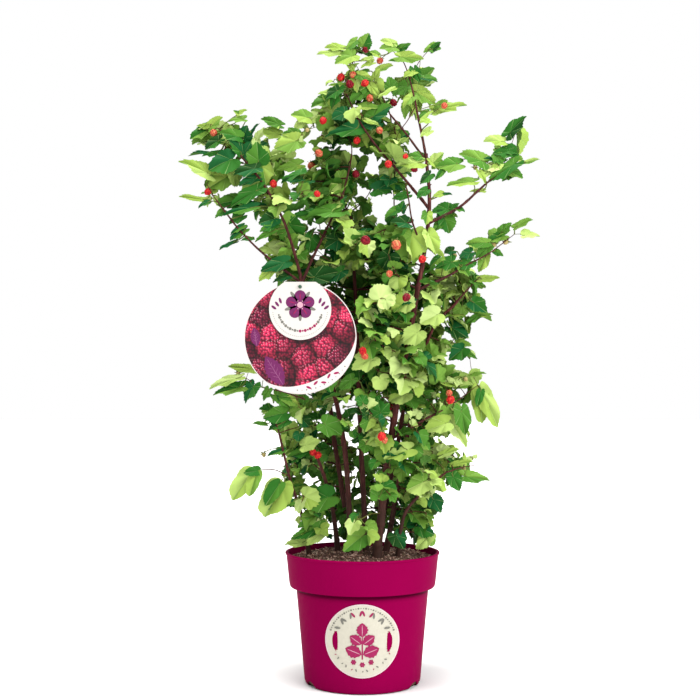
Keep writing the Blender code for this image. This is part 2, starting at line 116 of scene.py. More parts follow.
# Main twigs that carry a limb on into its leaves: where they start, where they end, thickness
LEADERS = [
    ([(488, 182, -60), (506, 171, -52), (519, 160, -46)], 2.8, 1.0),
    ([(500, 175, -55), (510, 150, -44), (516, 134, -40)], 1.6, 0.8),
    ([(415, 98, -28), (410, 78, -20), (404, 62, -14), (393, 51, -8)], 2.8, 1.0),
    ([(410, 80, -21), (420, 62, -8), (430, 50, -4)], 1.5, 0.8),
    ([(356, 116, -20), (349, 100, -14), (344, 88, -8), (351, 68, -8), (358, 50, -10)], 2.4, 0.9),
    ([(468, 265, -56), (489, 254, -48), (503, 244, -42), (515, 235, -38)], 2.7, 0.9),
    ([(446, 409, -54), (462, 398, -42), (478, 386, -38)], 2.4, 0.9),
    ([(232, 146, -32), (222, 132, -24), (210, 124, -20)], 2.4, 0.9),
    ([(222, 208, -50), (213, 196, -44), (206, 184, -36)], 2.2, 0.9),
    ([(350, 168, -20), (352, 148, -8), (345, 132, 2)], 2.4, 0.9),
    ([(458, 302, -28), (470, 288, -30), (480, 278, -32)], 3.2, 1.0),
    ([(446, 473, -70), (462, 468, -62), (474, 466, -58)], 2.6, 0.9),
    ([(390, 114, -24), (384, 100, -14), (378, 84, -10)], 2.2, 0.8),
    ([(279, 434, -62), (276, 424, -62), (272, 416, -58)], 2.6, 0.8),
    ([(291, 478, -52), (276, 471, -70), (262, 470, -82), (252, 466, -88)], 2.0, 0.9),
    ([(305, 400, -58), (282, 392, -58), (262, 388, -58), (246, 379, -58)], 2.4, 0.9),
    ([(423, 246, -74), (413, 220, -80), (409, 196, -78), (406, 182, -66)], 3.0, 1.6),
    ([(415, 108, -32), (408, 120, -40), (401, 129, -40)], 1.6, 1.2),
    ([(446, 160, -60), (468, 158, -54), (484, 160, -50), (496, 166, -52)], 1.6, 0.8),
]


# ================================================================ mesh helpers
class Pile:
    """Many small shapes gathered into one mesh of triangles."""

    def __init__(self):
        self.points, self.faces, self.slots, self.count = [], [], [], 0

    def add(self, points, faces, slots=0):
        points = np.asarray(points, float).reshape(-1, 3)
        faces = np.asarray(faces, np.int64).reshape(-1, 3)
        self.points.append(points)
        self.faces.append(faces + self.count)
        self.slots.append(np.broadcast_to(np.asarray(slots, np.int32), (len(faces),)))
        self.count += len(points)

    def triangles(self):
        return sum(len(f) for f in self.faces)

    def build(self, name, materials, smooth=True, angle=None):
        points = np.concatenate(self.points).astype(np.float32)
        faces = np.concatenate(self.faces).astype(np.int32)
        mesh = bpy.data.meshes.new(name)
        mesh.vertices.add(len(points))
        mesh.vertices.foreach_set("co", points.ravel())
        mesh.loops.add(len(faces) * 3)
        mesh.loops.foreach_set("vertex_index", faces.ravel())
        mesh.polygons.add(len(faces))
        mesh.polygons.foreach_set("loop_start", np.arange(len(faces), dtype=np.int32) * 3)
        for mat in materials:
            mesh.materials.append(mat)
        mesh.polygons.foreach_set("material_index", np.concatenate(self.slots).astype(np.int32))
        mesh.update(calc_edges=True)
        if smooth:
            mesh.shade_smooth()
            if angle:
                mesh.set_sharp_from_angle(angle=math.radians(angle))
        made = bpy.data.objects.new(name, mesh)
        bpy.context.collection.objects.link(made)
        return made


def grid_faces(rows, columns, wrap=True):
    """Triangles of a grid of rows, each a ring of columns."""
    r = np.arange(rows - 1)[:, None]
    c = np.arange(columns if wrap else columns - 1)[None, :]
    n = (c + 1) % columns
    a, b, d, e = r * columns + c, r * columns + n, (r + 1) * columns + c, (r + 1) * columns + n
    return np.concatenate([
        np.stack([a, b, e], -1).reshape(-1, 3),
        np.stack([a, e, d], -1).reshape(-1, 3),
    ])


def unit(v):
    return v / np.maximum(np.linalg.norm(v, axis=-1, keepdims=True), 1e-12)


def smooth_path(points, step):
    """Points every step along a smooth curve through these points."""
    points = [np.asarray(p, float) for p in points]
    ghost = [points[0] * 2 - points[1], *points, points[-1] * 2 - points[-2]]
    dense = []
    t = (np.arange(24) / 24)[:, None]
    for a, b, c, d in zip(ghost, ghost[1:], ghost[2:], ghost[3:]):
        dense.append(0.5 * (2 * b + (c - a) * t + (2 * a - 5 * b + 4 * c - d) * t ** 2 + (3 * b - a - 3 * c + d) * t ** 3))
    dense = np.concatenate([*dense, points[-1][None]])
    along = np.concatenate([[0], np.cumsum(np.linalg.norm(np.diff(dense, axis=0), axis=1))])
    count = max(2, round(along[-1] / step))
    want = np.linspace(0, along[-1], count + 1)
    return np.stack([np.interp(want, along, dense[:, k]) for k in range(3)], 1)


def tube(path, radii, sides, close=True, relief=None):
    """Points and triangles of a round tube along path."""
    path = np.asarray(path, float)
    radii = np.broadcast_to(np.asarray(radii, float), (len(path),))
    ahead = unit(np.gradient(path, axis=0)) if len(path) > 2 else np.repeat(unit(path[1:] - path[:1]), 2, 0)
    start = np.array((0.0, 1.0, 0.15))
    if abs(np.dot(unit(start), ahead[0])) > 0.9:
        start = np.array((1.0, 0.0, 0.1))
    across = np.cross(ahead[0], start)
    across /= np.linalg.norm(across)
    rows = []
    angle = np.arange(sides) * 2 * np.pi / sides
    for k in range(len(path)):
        across = across - ahead[k] * np.dot(across, ahead[k])
        across /= np.linalg.norm(across)
        other = np.cross(ahead[k], across)
        size = radii[k] * (np.ones(sides) if relief is None else relief[k])
        rows.append(path[k] + (np.cos(angle) * size)[:, None] * across + (np.sin(angle) * size)[:, None] * other)
    points = np.concatenate(rows)
    faces = grid_faces(len(path), sides)
    if close:
        n = len(points)
        points = np.concatenate([points, path[:1], path[-1:]])
        k = np.arange(sides)
        low = np.stack([(k + 1) % sides, k, np.full(sides, n)], 1)
        base = (len(path) - 1) * sides
        high = np.stack([base + k, base + (k + 1) % sides, np.full(sides, n + 1)], 1)
        faces = np.concatenate([faces, low, high])
    return points, faces


# ================================================================ materials
def shader_of(name):
    mat = bpy.data.materials.new(name)
    mat.use_nodes = True
    return mat, mat.node_tree, mat.node_tree.nodes["Principled BSDF"]


def plain(name, rgb, roughness, specular=0.5, **more):
    mat, tree, p = shader_of(name)
    p.inputs["Base Color"].default_value = (*rgb, 1)
    p.inputs["Roughness"].default_value = roughness
    p.inputs["Specular IOR Level"].default_value = specular
    for key, value in more.items():
        p.inputs[key].default_value = value
    mat.diffuse_color = (*rgb, 1)
    return mat


def noise_node(tree, scale, detail=4.0, rough=0.55, coords=None, stretch=None):
    if coords is None:
        coords = tree.nodes.new("ShaderNodeTexCoord").outputs["Object"]
    if stretch is not None:
        mapping = tree.nodes.new("ShaderNodeMapping")
        mapping.inputs["Scale"].default_value = stretch
        tree.links.new(coords, mapping.inputs["Vector"])
        coords = mapping.outputs[0]
    node = tree.nodes.new("ShaderNodeTexNoise")
    node.inputs["Scale"].default_value = scale
    node.inputs["Detail"].default_value = detail
    node.inputs["Roughness"].default_value = rough
    tree.links.new(coords, node.inputs["Vector"])
    return node.outputs["Fac"]


def ramp(tree, value, stops):
    node = tree.nodes.new("ShaderNodeValToRGB")
    while len(node.color_ramp.elements) > 1:
        node.color_ramp.elements.remove(node.color_ramp.elements[-1])
    for k, (place, colour) in enumerate(stops):
        element = node.color_ramp.elements[0] if k == 0 else node.color_ramp.elements.new(place)
        element.position = place
        element.color = (*colour, 1) if len(colour) == 3 else colour
    tree.links.new(value, node.inputs[0])
    return node.outputs[0]


def bump(tree, p, height, strength, distance):
    node = tree.nodes.new("ShaderNodeBump")
    node.inputs["Strength"].default_value = strength
    node.inputs["Distance"].default_value = distance
    tree.links.new(height, node.inputs["Height"])
    tree.links.new(node.outputs[0], p.inputs["Normal"])


def maths(tree, kind, a, b):
    node = tree.nodes.new("ShaderNodeMath")
    node.operation = kind
    for socket, value in zip(node.inputs, (a, b)):
        if isinstance(value, (int, float)):
            socket.default_value = value
        else:
            tree.links.new(value, socket)
    return node.outputs[0]


def mix_colour(tree, share, a, b, kind="MIX"):
    node = tree.nodes.new("ShaderNodeMix")
    node.data_type = "RGBA"
    node.blend_type = kind
    for socket, value in ((node.inputs[0], share), (node.inputs[6], a), (node.inputs[7], b)):
        if isinstance(value, (int, float)):
            socket.default_value = value
        elif isinstance(value, tuple):
            socket.default_value = (*value, 1)
        else:
            tree.links.new(value, socket)
    return node.outputs[2]


def bark_material(name, dark, mid, light, ground=None):
    """Thin bark: long streaks, pale flecks, and darker, dusty bark near the soil."""
    mat, tree, p = shader_of(name)
    coords = tree.nodes.new("ShaderNodeTexCoord").outputs["Object"]
    streak = noise_node(tree, 90, 5, 0.6, coords, (6, 6, 0.55))
    fleck = noise_node(tree, 420, 3, 0.6, coords, (1, 1, 0.6))
    base = ramp(tree, streak, [(0.30, dark), (0.52, mid), (0.72, light)])
    flecks = ramp(tree, fleck, [(0.62, (0, 0, 0)), (0.72, (1, 1, 1))])
    colour = mix_colour(tree, maths(tree, "MULTIPLY", flecks, 0.35), base, light)
    if ground is not None:
        place = tree.nodes.new("ShaderNodeSeparateXYZ")
        tree.links.new(coords, place.inputs[0])
        low = ramp(tree, place.outputs[2], [(SOIL_MOUND, (1, 1, 1)), (0.42, (0, 0, 0))])
        patch = maths(tree, "MULTIPLY", low, ramp(tree, noise_node(tree, 22, 3, 0.6, coords), [(0.3, (0.55, 0.55, 0.55)), (0.6, (1, 1, 1))]))
        colour = mix_colour(tree, patch, colour, ground)
    tree.links.new(colour, p.inputs["Base Color"])
    tree.links.new(ramp(tree, streak, [(0.3, (0.75,) * 3), (0.7, (0.55,) * 3)]), p.inputs["Roughness"])
    p.inputs["Specular IOR Level"].default_value = 0.10
    bump(tree, p, maths(tree, "ADD", streak, maths(tree, "MULTIPLY", fleck, 0.4)), 0.5, 0.0006)
    return mat


bark = bark_material("bark_cane", (0.022, 0.005, 0.005), (0.056, 0.012, 0.011), (0.150, 0.040, 0.032), ground=(0.034, 0.017, 0.012))
bark_young = bark_material("bark_young", (0.018, 0.005, 0.005), (0.046, 0.011, 0.010), (0.110, 0.032, 0.022))
twig_red = plain("twig_red", (0.055, 0.014, 0.011), 0.6, 0.1)
twig_green = plain("twig_green", (0.085, 0.085, 0.018), 0.6, 0.1)
petiole = plain("petiole", (0.095, 0.120, 0.028), 0.6, 0.06)
petiole_red = plain("petiole_red", (0.092, 0.032, 0.018), 0.6, 0.06)

LEAF_TOPS = [
    (0.007, 0.044, 0.006),
    (0.007, 0.074, 0.017),
    (0.018, 0.100, 0.010),
    (0.050, 0.150, 0.016),
    (0.112, 0.222, 0.030),
    (0.216, 0.318, 0.054),
    (0.288, 0.398, 0.098),
    (0.344, 0.442, 0.150),
]
TONES = len(LEAF_TOPS)
leaf_tops = [plain("leaf_green_%d" % k, c, 0.60, 0.07) for k, c in enumerate(LEAF_TOPS)]
leaf_under = [
    plain("leaf_under_%d" % k, tuple(0.78 * a + 0.22 * b for a, b in zip(c, (0.17, 0.34, 0.06))), 0.7, 0.06)
    for k, c in enumerate(LEAF_TOPS[::2])
]
leaf_veins = [
    plain("leaf_vein_%d" % k, tuple(0.62 * a + 0.38 * b for a, b in zip(c, (0.34, 0.46, 0.17))), 0.6, 0.10)
    for k, c in enumerate(LEAF_TOPS[::2])
]
LEAF_MATERIALS = [*leaf_tops, *leaf_under, *leaf_veins]
UNDER_SLOT = TONES
VEIN_SLOT = TONES + len(leaf_under)

# ================================================================ limbs
limb_pile = Pile()
bough_pile = Pile()
samples, sample_radius, sample_limb = [], [], []
lines = {}


def bark_relief(path, sides, seed, node_gap):
    """Swellings where leaves once sat, and fine ridges along the bark."""
    length = np.concatenate([[0], np.cumsum(np.linalg.norm(np.diff(path, axis=0), axis=1))])
    angle = np.arange(sides) * 2 * np.pi / sides
    out = np.ones((len(path), sides))
    place, k = node_gap * 0.6, 0
    while place < length[-1]:
        toward = (k * 2.4 + seed) % (2 * math.pi)
        bell = np.exp(-((length - place) / 0.0032) ** 2)[:, None]
        side = np.maximum(0, np.cos(angle - toward))[None, :]
        out += bell * (0.08 + 0.22 * side)
        place += node_gap * (0.8 + 0.4 * ((k * 0.618 + seed) % 1))
        k += 1
    for i in range(len(path)):
        for j in range(sides):
            out[i, j] += 0.055 * noise.noise(Vector((math.cos(angle[j]) * 2.2, math.sin(angle[j]) * 2.2, length[i] * 55 + seed * 9)))
            out[i, j] += 0.030 * noise.noise(Vector((math.cos(angle[j]) * 5.0, math.sin(angle[j]) * 5.0, length[i] * 210 + seed * 5)))
    return out


def wander(path, seed, size):
    """A slight zigzag, as a cane bends at each of its nodes."""
    length = np.concatenate([[0], np.cumsum(np.linalg.norm(np.diff(path, axis=0), axis=1))])
    fade = np.clip(np.minimum(length, length[-1] - length) / 0.03, 0, 1)
    shift = np.array([
        noise.noise_vector(Vector((l * 16, seed * 3.1, 0.7))) for l in length
    ]) * size * fade[:, None]
    return path + shift


def add_limb(name, points, thick, thin, parent, seed):
    path = smooth_path([seen(*p) for p in points], 0.003)
    share = np.linspace(0, 1, len(path))
    radii = (thick + (thin - thick) * share ** 0.85) / 2000
    path = wander(path, seed, 0.0012)
    if parent is None:
        ground = SOIL_MOUND
        radii = radii * (1 + 0.22 * np.exp(-np.maximum(path[:, 2] - ground, 0) / 0.012))
        if path[0][2] > ground - 0.006:
            ahead = unit(path[0] - path[1])
            extra = path[0] + ahead * ((path[0][2] - (ground - 0.006)) / -ahead[2])
            path = np.concatenate([[extra], path])
            radii = np.concatenate([[radii[0] * 1.15], radii])
    lines[name] = (path, radii)
    sides = 14 if thick > 6 else 10
    relief = bark_relief(path, sides, seed, 0.038 if thick > 6 else 0.026)
    pts, faces = tube(path, radii, sides, True, relief)
    (limb_pile if parent is None else bough_pile).add(pts, faces)
    for k in range(0, len(path), 3):
        samples.append(path[k])
        sample_radius.append(radii[k])
        sample_limb.append(name)


for k, (name, (points, thick, thin)) in enumerate(CANES.items()):
    add_limb(name, points, thick, thin, None, k + 1)
for k, (name, (parent, points, thick, thin)) in enumerate(BOUGHS.items()):
    add_limb(name, points, thick, thin, parent, k + 21)
for k, (points, thick, thin) in enumerate(LEADERS):
    add_limb("leader_%d" % k, points, thick, thin, "leader", k + 51)

# short stubs of old side shoots along the older canes
stub_rng = random.Random(5)
for name in ("cane_main", "cane_left", "cane_centre", "cane_mid_right", "cane_back_left", "cane_back_right"):
    path, radii = lines[name]
    for k in range(12, len(path) - 10, 17):
        if stub_rng.random() < 0.45:
            continue
        turn = stub_rng.uniform(0, 2 * math.pi)
        out = unit(np.array((math.cos(turn), math.sin(turn), 0.8)))
        start = path[k]
        reach = radii[k] + stub_rng.uniform(0.002, 0.006)
        pts, faces = tube([start, start + out * reach * 0.7, start + out * reach], [0.0011, 0.0009, 0.0007], 6)
        limb_pile.add(pts, faces)

samples = np.array(samples)
sample_radius = np.array(sample_radius)


# ================================================================ pot
def body_radius(z):
    """Outer radius of the tapering body below the collar."""
    return BASE_RADIUS + (SHOULDER - BASE_RADIUS) * (z - 0.005) / (COLLAR_Z - 0.012)


def inner_radius(z):
    """Radius of the inside wall."""
    if z < COLLAR_Z - 0.010:
        return body_radius(z) - WALL
    top = COLLAR_TOP - WALL
    foot = COLLAR_FOOT - WALL
    if z < COLLAR_Z + 0.003:
        low = body_radius(COLLAR_Z - 0.010) - WALL
        return low + (foot - low) * (z - COLLAR_Z + 0.010) / 0.013
    return foot + (top - foot) * (z - COLLAR_Z - 0.003) / (COLLAR_DEPTH - 0.003)


def rounded(profile, corners, steps=5):
    """A profile with these corners rounded off: {index: reach}."""
    out = []
    for k, point in enumerate(profile):
        if k not in corners:
            out.append(point)
            continue
        p = np.array(point)
        before, after = np.array(profile[k - 1]), np.array(profile[k + 1])
        reach = corners[k]
        a = p + unit(before - p) * min(reach, np.linalg.norm(before - p) * 0.45)
        b = p + unit(after - p) * min(reach, np.linalg.norm(after - p) * 0.45)
        for s in range(steps + 1):
            t = s / steps
            out.append(tuple((1 - t) ** 2 * a + 2 * t * (1 - t) * p + t ** 2 * b))
    return out


def lathe(profile, sides):
    """A closed solid turned from (radius, height) pairs, its first and last on the axis."""
    angle = np.arange(sides) * 2 * np.pi / sides
    middle = profile[1:-1]
    rings = np.concatenate([
        np.stack([r * np.cos(angle), r * np.sin(angle), np.full(sides, z)], 1) for r, z in middle
    ])
    points = np.concatenate([rings, [[0, 0, profile[0][1]]], [[0, 0, profile[-1][1]]]])
    k = np.arange(sides)
    n = (k + 1) % sides
    first, last = len(rings), len(rings) + 1
    base = (len(middle) - 1) * sides
    faces = np.concatenate([
        grid_faces(len(middle), sides),
        np.stack([n, k, np.full(sides, first)], 1),
        np.stack([base + k, base + n, np.full(sides, last)], 1),
    ])
    return points, faces


def plastic(name, dark, mid, rough):
    mat, tree, p = shader_of(name)
    coords = tree.nodes.new("ShaderNodeTexCoord").outputs["Object"]
    broad = noise_node(tree, 9, 2, 0.5, coords)
    fine = noise_node(tree, 900, 3, 0.6, coords)
    tree.links.new(ramp(tree, broad, [(0.35, dark), (0.65, mid)]), p.inputs["Base Color"])
    tree.links.new(ramp(tree, fine, [(0.3, (rough - 0.05,) * 3), (0.7, (rough + 0.05,) * 3)]), p.inputs["Roughness"])
    bump(tree, p, fine, 0.12, 0.0001)
    return mat


pot_plastic = plastic("pot_magenta", (0.176, 0.0003, 0.038), (0.190, 0.0004, 0.041), 0.48)
p = pot_plastic.node_tree.nodes["Principled BSDF"]
p.inputs["Specular IOR Level"].default_value = 0.004
# painted shade: the body darkened just under the collar, where the collar's shadow falls
tree = pot_plastic.node_tree
level = tree.nodes.new("ShaderNodeSeparateXYZ")
tree.links.new(tree.nodes.new("ShaderNodeTexCoord").outputs["Object"], level.inputs[0])
level = maths(tree, "DIVIDE", maths(tree, "SUBTRACT", level.outputs[2], COLLAR_Z - 0.0155), 0.0130)
painted_collar_shade = ramp(tree, level, [(0.0, (1, 1, 1)), (0.30, (0.86, 0.86, 0.86)), (0.58, (0.30, 0.30, 0.30)), (0.90, (0.24, 0.24, 0.24)), (0.94, (1, 1, 1))])
tree.links.new(mix_colour(tree, 1.0, p.inputs["Base Color"].links[0].from_socket, painted_collar_shade, "MULTIPLY"), p.inputs["Base Color"])
# and painted shade: near black inside the openings in the foot, where they lie in shadow
place = tree.nodes.new("ShaderNodeSeparateXYZ")
tree.links.new(tree.nodes.new("ShaderNodeTexCoord").outputs["Object"], place.inputs[0])
x, y, z = place.outputs
out = maths(tree, "SQRT", maths(tree, "ADD", maths(tree, "MULTIPLY", x, x), maths(tree, "MULTIPLY", y, y)), 0.0)
painted_notch_shade = maths(tree, "MULTIPLY", maths(tree, "LESS_THAN", out, BASE_RADIUS - 0.0024), maths(tree, "LESS_THAN", z, 0.0092))
tree.links.new(mix_colour(tree, painted_notch_shade, p.inputs["Base Color"].links[0].from_socket, (0.010, 0.001, 0.003)), p.inputs["Base Color"])

profile = [
    (0.0, 0.0),
    (BASE_RADIUS - 0.0060, 0.0),
    (BASE_RADIUS - 0.0018, 0.0010),
    (BASE_RADIUS, 0.0050),
    (body_radius(COLLAR_Z - 0.0078), COLLAR_Z - 0.0078),
    (SHOULDER + 0.0052, COLLAR_Z - 0.0052),
    (COLLAR_FOOT - 0.0012, COLLAR_Z - 0.0036),
    (COLLAR_FOOT, COLLAR_Z + 0.0012),
    (COLLAR_TOP, POT_HEIGHT - LIP_DROP - 0.0008),
    (RIM_RADIUS, POT_HEIGHT - LIP_DROP),
    (RIM_RADIUS, POT_HEIGHT - 0.0004),
    (RIM_RADIUS - 0.0009, POT_HEIGHT),
    (inner_radius(POT_HEIGHT) - 0.0004, POT_HEIGHT),
    (inner_radius(COLLAR_Z + 0.003), COLLAR_Z + 0.003),
    (inner_radius(COLLAR_Z - 0.010), COLLAR_Z - 0.010),
    (inner_radius(0.003), 0.003),
    (0.0, 0.003),
]
profile = rounded(profile, {1: 0.002, 2: 0.0016, 3: 0.0024, 4: 0.0012, 5: 0.0016, 6: 0.0018, 7: 0.0030, 8: 0.0004,
                            9: 0.0007, 10: 0.0008, 12: 0.0008, 13: 0.002, 14: 0.002})
pile = Pile()
pile.add(*lathe(profile, 160))
raw = pile.build("pot_raw", [pot_plastic], smooth=False)
cutters = []
for number, turn in enumerate(NOTCHES):
    bm = bmesh.new()
    a = math.radians(turn - 90)
    along = Vector((math.cos(a), math.sin(a), 0))
    side = Vector((-math.sin(a), math.cos(a), 0))
    ends = []
    for reach in (BASE_RADIUS - 0.0075, BASE_RADIUS + 0.02):
        ring = []
        for k in range(15):
            if k < 2:
                across, up = (-0.5, 0.5)[k], -0.6
            else:
                t = (k - 2) / 12 * math.pi
                across, up = 0.5 * math.cos(t), math.sin(t) ** 0.8
            rise = 0.0088 * up
            ring.append(bm.verts.new(along * reach + side * (0.026 * across) + Vector((0, 0, rise))))
        ends.append(ring)
    bm.faces.new(ends[0])
    bm.faces.new(reversed(ends[1]))
    for k in range(15):
        n = (k + 1) % 15
        bm.faces.new((ends[0][k], ends[1][k], ends[1][n], ends[0][n]))
    bmesh.ops.triangulate(bm, faces=bm.faces)
    bmesh.ops.recalc_face_normals(bm, faces=bm.faces)
    mesh = bpy.data.meshes.new("notch")
    bm.to_mesh(mesh)
    bm.free()
    cutter = bpy.data.objects.new("notch_%d" % number, mesh)
    bpy.context.collection.objects.link(cutter)
    cutters.append(cutter)
    cut = raw.modifiers.new("notch_%d" % number, "BOOLEAN")
    cut.operation = "DIFFERENCE"
    cut.object = cutter
    cut.solver = "EXACT"
depsgraph = bpy.context.evaluated_depsgraph_get()
mesh = bpy.data.meshes.new_from_object(raw.evaluated_get(depsgraph))
mesh.name = "pot_body"
mesh.shade_smooth()
mesh.set_sharp_from_angle(angle=math.radians(38))
pot = bpy.data.objects.new("pot_body", mesh)
bpy.context.collection.objects.link(pot)
for old in (raw, *cutters):
    spare = old.data
    bpy.data.objects.remove(old, do_unlink=True)
    bpy.data.meshes.remove(spare)
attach(pot, "root")
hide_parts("pot")


# ================================================================ soil
def soil_height(x, y):
    out = min(1.0, math.hypot(x, y) / 0.105)
    rough = 1 - 0.55 * out ** 6
    lump = noise.noise(Vector((x * 55, y * 55, 3.1))) * 0.0014
    lump += noise.noise(Vector((x * 150, y * 150, 7.1))) * 0.0011
    lump += abs(noise.noise(Vector((x * 380, y * 380, 1.7)))) * 0.0014
    return SOIL_EDGE + (SOIL_MOUND - SOIL_EDGE) * (1 - out ** 2.2) + lump * rough


mat, tree, p = shader_of("soil_crumb")
coords = tree.nodes.new("ShaderNodeTexCoord").outputs["Object"]
coarse = noise_node(tree, 260, 5, 0.7, coords)
grain = noise_node(tree, 900, 4, 0.7, coords)
tree.links.new(mix_colour(tree, 0.5,
    ramp(tree, coarse, [(0.34, (0.018, 0.008, 0.006)), (0.50, (0.078, 0.040, 0.030)), (0.64, (0.220, 0.125, 0.095)), (0.74, (0.50, 0.34, 0.26))]),
    ramp(tree, grain, [(0.38, (0.022, 0.011, 0.008)), (0.55, (0.110, 0.058, 0.044)), (0.68, (0.38, 0.24, 0.18))])), p.inputs["Base Color"])
p.inputs["Roughness"].default_value = 0.95
p.inputs["Specular IOR Level"].default_value = 0.15
bump(tree, p, maths(tree, "ADD", coarse, grain), 0.8, 0.0012)
soil_crumb = mat

mat, tree, p = shader_of("soil_chips")
coords = tree.nodes.new("ShaderNodeTexCoord").outputs["Object"]
tone = noise_node(tree, 150, 2, 0.5, coords)
fibre = noise_node(tree, 700, 3, 0.6, coords, (1, 1, 0.3))
tree.links.new(mix_colour(tree, 0.35,
    ramp(tree, tone, [(0.32, (0.034, 0.016, 0.012)), (0.45, (0.170, 0.082, 0.062)), (0.54, (0.440, 0.260, 0.200)), (0.64, (0.78, 0.60, 0.48)), (0.72, (0.070, 0.032, 0.024))]),
    ramp(tree, fibre, [(0.35, (0.03, 0.014, 0.010)), (0.65, (0.24, 0.13, 0.09))])), p.inputs["Base Color"])
p.inputs["Roughness"].default_value = 0.9
p.inputs["Specular IOR Level"].default_value = 0.2
bump(tree, p, fibre, 0.5, 0.0004)
soil_chip = mat

pile = Pile()
SOIL_SIDES, SOIL_RINGS = 150, 62
edge = inner_radius(SOIL_EDGE) - 0.0006
angle = np.arange(SOIL_SIDES) * 2 * np.pi / SOIL_SIDES
rows = []
for radius, z in ((inner_radius(0.003) - 0.0008, 0.0034), (inner_radius(COLLAR_Z - 0.010) - 0.0008, COLLAR_Z - 0.010),
                  (inner_radius(COLLAR_Z + 0.003) - 0.0008, COLLAR_Z + 0.003)):
    rows.append(np.stack([radius * np.cos(angle), radius * np.sin(angle), np.full(SOIL_SIDES, z)], 1))
for k in range(SOIL_RINGS):
    radius = edge * (1 - k / SOIL_RINGS) ** 0.9
    xs, ys = radius * np.cos(angle), radius * np.sin(angle)
    rows.append(np.stack([xs, ys, [soil_height(x, y) for x, y in zip(xs, ys)]], 1))
points = np.concatenate([*rows, [[0, 0, 0.0034]], [[0, 0, soil_height(0, 0)]]])
k = np.arange(SOIL_SIDES)
n = (k + 1) % SOIL_SIDES
base = (len(rows) - 1) * SOIL_SIDES
pile.add(points, np.concatenate([
    grid_faces(len(rows), SOIL_SIDES),
    np.stack([n, k, np.full(SOIL_SIDES, len(points) - 2)], 1),
    np.stack([base + k, base + n, np.full(SOIL_SIDES, len(points) - 1)], 1),
]))
soil = pile.build("soil_surface", [soil_crumb], angle=70)
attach(soil, "root")
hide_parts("soil")

SHARD = np.array([(1, 0, 0), (0, 1, 0), (-1, 0, 0), (0, -1, 0), (0, 0, 1), (0, 0, -1)], float)
SHARD_FACES = [(0, 1, 4), (1, 2, 4), (2, 3, 4), (3, 0, 4), (1, 0, 5), (2, 1, 5), (3, 2, 5), (0, 3, 5)]
pile = Pile()
for _ in range(2400):
    turn = rng.uniform(0, 2 * np.pi)
    radius = (edge - 0.004) * math.sqrt(rng.uniform(0.0, 1.0))
    x, y = radius * math.cos(turn), radius * math.sin(turn)
    size = float(np.clip(rng.lognormal(math.log(0.0020), 0.48), 0.0007, 0.0062))
    shape = SHARD * (size, size * rng.uniform(0.20, 0.6), size * rng.uniform(0.20, 0.4))
    shape = shape + rng.normal(0, size * 0.16, shape.shape)
    spin = np.array(Matrix.Rotation(rng.uniform(0, 6.28), 3, "Z") @ Matrix.Rotation(rng.normal(0, 0.45), 3, "X") @ Matrix.Rotation(rng.normal(0, 0.45), 3, "Y"))
    pile.add(shape @ spin.T + (x, y, soil_height(x, y) + size * 0.12), SHARD_FACES)
chips = pile.build("soil_bark_chips", [soil_chip], smooth=False)
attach(chips, "root")


# ================================================================ prints
def card(name, rgb, other, rough=0.45, scale=220, spec=0.4):
    """Printed card: a plain ink with a faint mottle."""
    mat, tree, p = shader_of(name)
    coords = tree.nodes.new("ShaderNodeTexCoord").outputs["Object"]
    fine = noise_node(tree, scale, 3, 0.6, coords)
    tree.links.new(ramp(tree, fine, [(0.35, rgb), (0.65, other)]), p.inputs["Base Color"])
    tree.links.new(ramp(tree, fine, [(0.3, (rough - 0.04,) * 3), (0.7, (rough + 0.04,) * 3)]), p.inputs["Roughness"])
    p.inputs["Specular IOR Level"].default_value = spec
    return mat


label_cream = card("label_cream", (0.415, 0.395, 0.325), (0.440, 0.418, 0.348), 0.55, spec=0.2)
label_edge = card("label_edge", (0.54, 0.43, 0.46), (0.57, 0.47, 0.50), 0.55, spec=0.2)
ink_magenta = card("ink_magenta", (0.220, 0.004, 0.056), (0.240, 0.006, 0.064), 0.5, spec=0.2)
ink_grey = card("ink_grey", (0.120, 0.117, 0.100), (0.145, 0.140, 0.122), 0.5, spec=0.2)
ink_pink = card("ink_pink", (0.46, 0.24, 0.30), (0.50, 0.28, 0.34), 0.5, spec=0.2)
ink_purple = card("ink_purple", (0.098, 0.006, 0.062), (0.115, 0.009, 0.074), 0.45, spec=0.25)
ink_violet = card("ink_violet", (0.190, 0.045, 0.130), (0.215, 0.060, 0.150), 0.45, spec=0.25)
card_white = card("card_white", (0.500, 0.455, 0.440), (0.530, 0.485, 0.470), 0.45, spec=0.25)
badge_cream = card("badge_cream", (0.470, 0.450, 0.425), (0.495, 0.475, 0.450), 0.5, spec=0.2)


def refine(points, faces, times):
    """Each triangle into four, with shared midpoints."""
    points = [tuple(p) for p in points]
    for _ in range(times):
        made, out = {}, []

        def middle(a, b):
            key = (a, b) if a < b else (b, a)
            if key not in made:
                made[key] = len(points)
                points.append(((points[a][0] + points[b][0]) / 2, (points[a][1] + points[b][1]) / 2))
            return made[key]

        for a, b, c in faces:
            ab, bc, ca = middle(a, b), middle(b, c), middle(c, a)
            out += [(a, ab, ca), (ab, b, bc), (ca, bc, c), (ab, bc, ca)]
        faces = out
    return points, faces


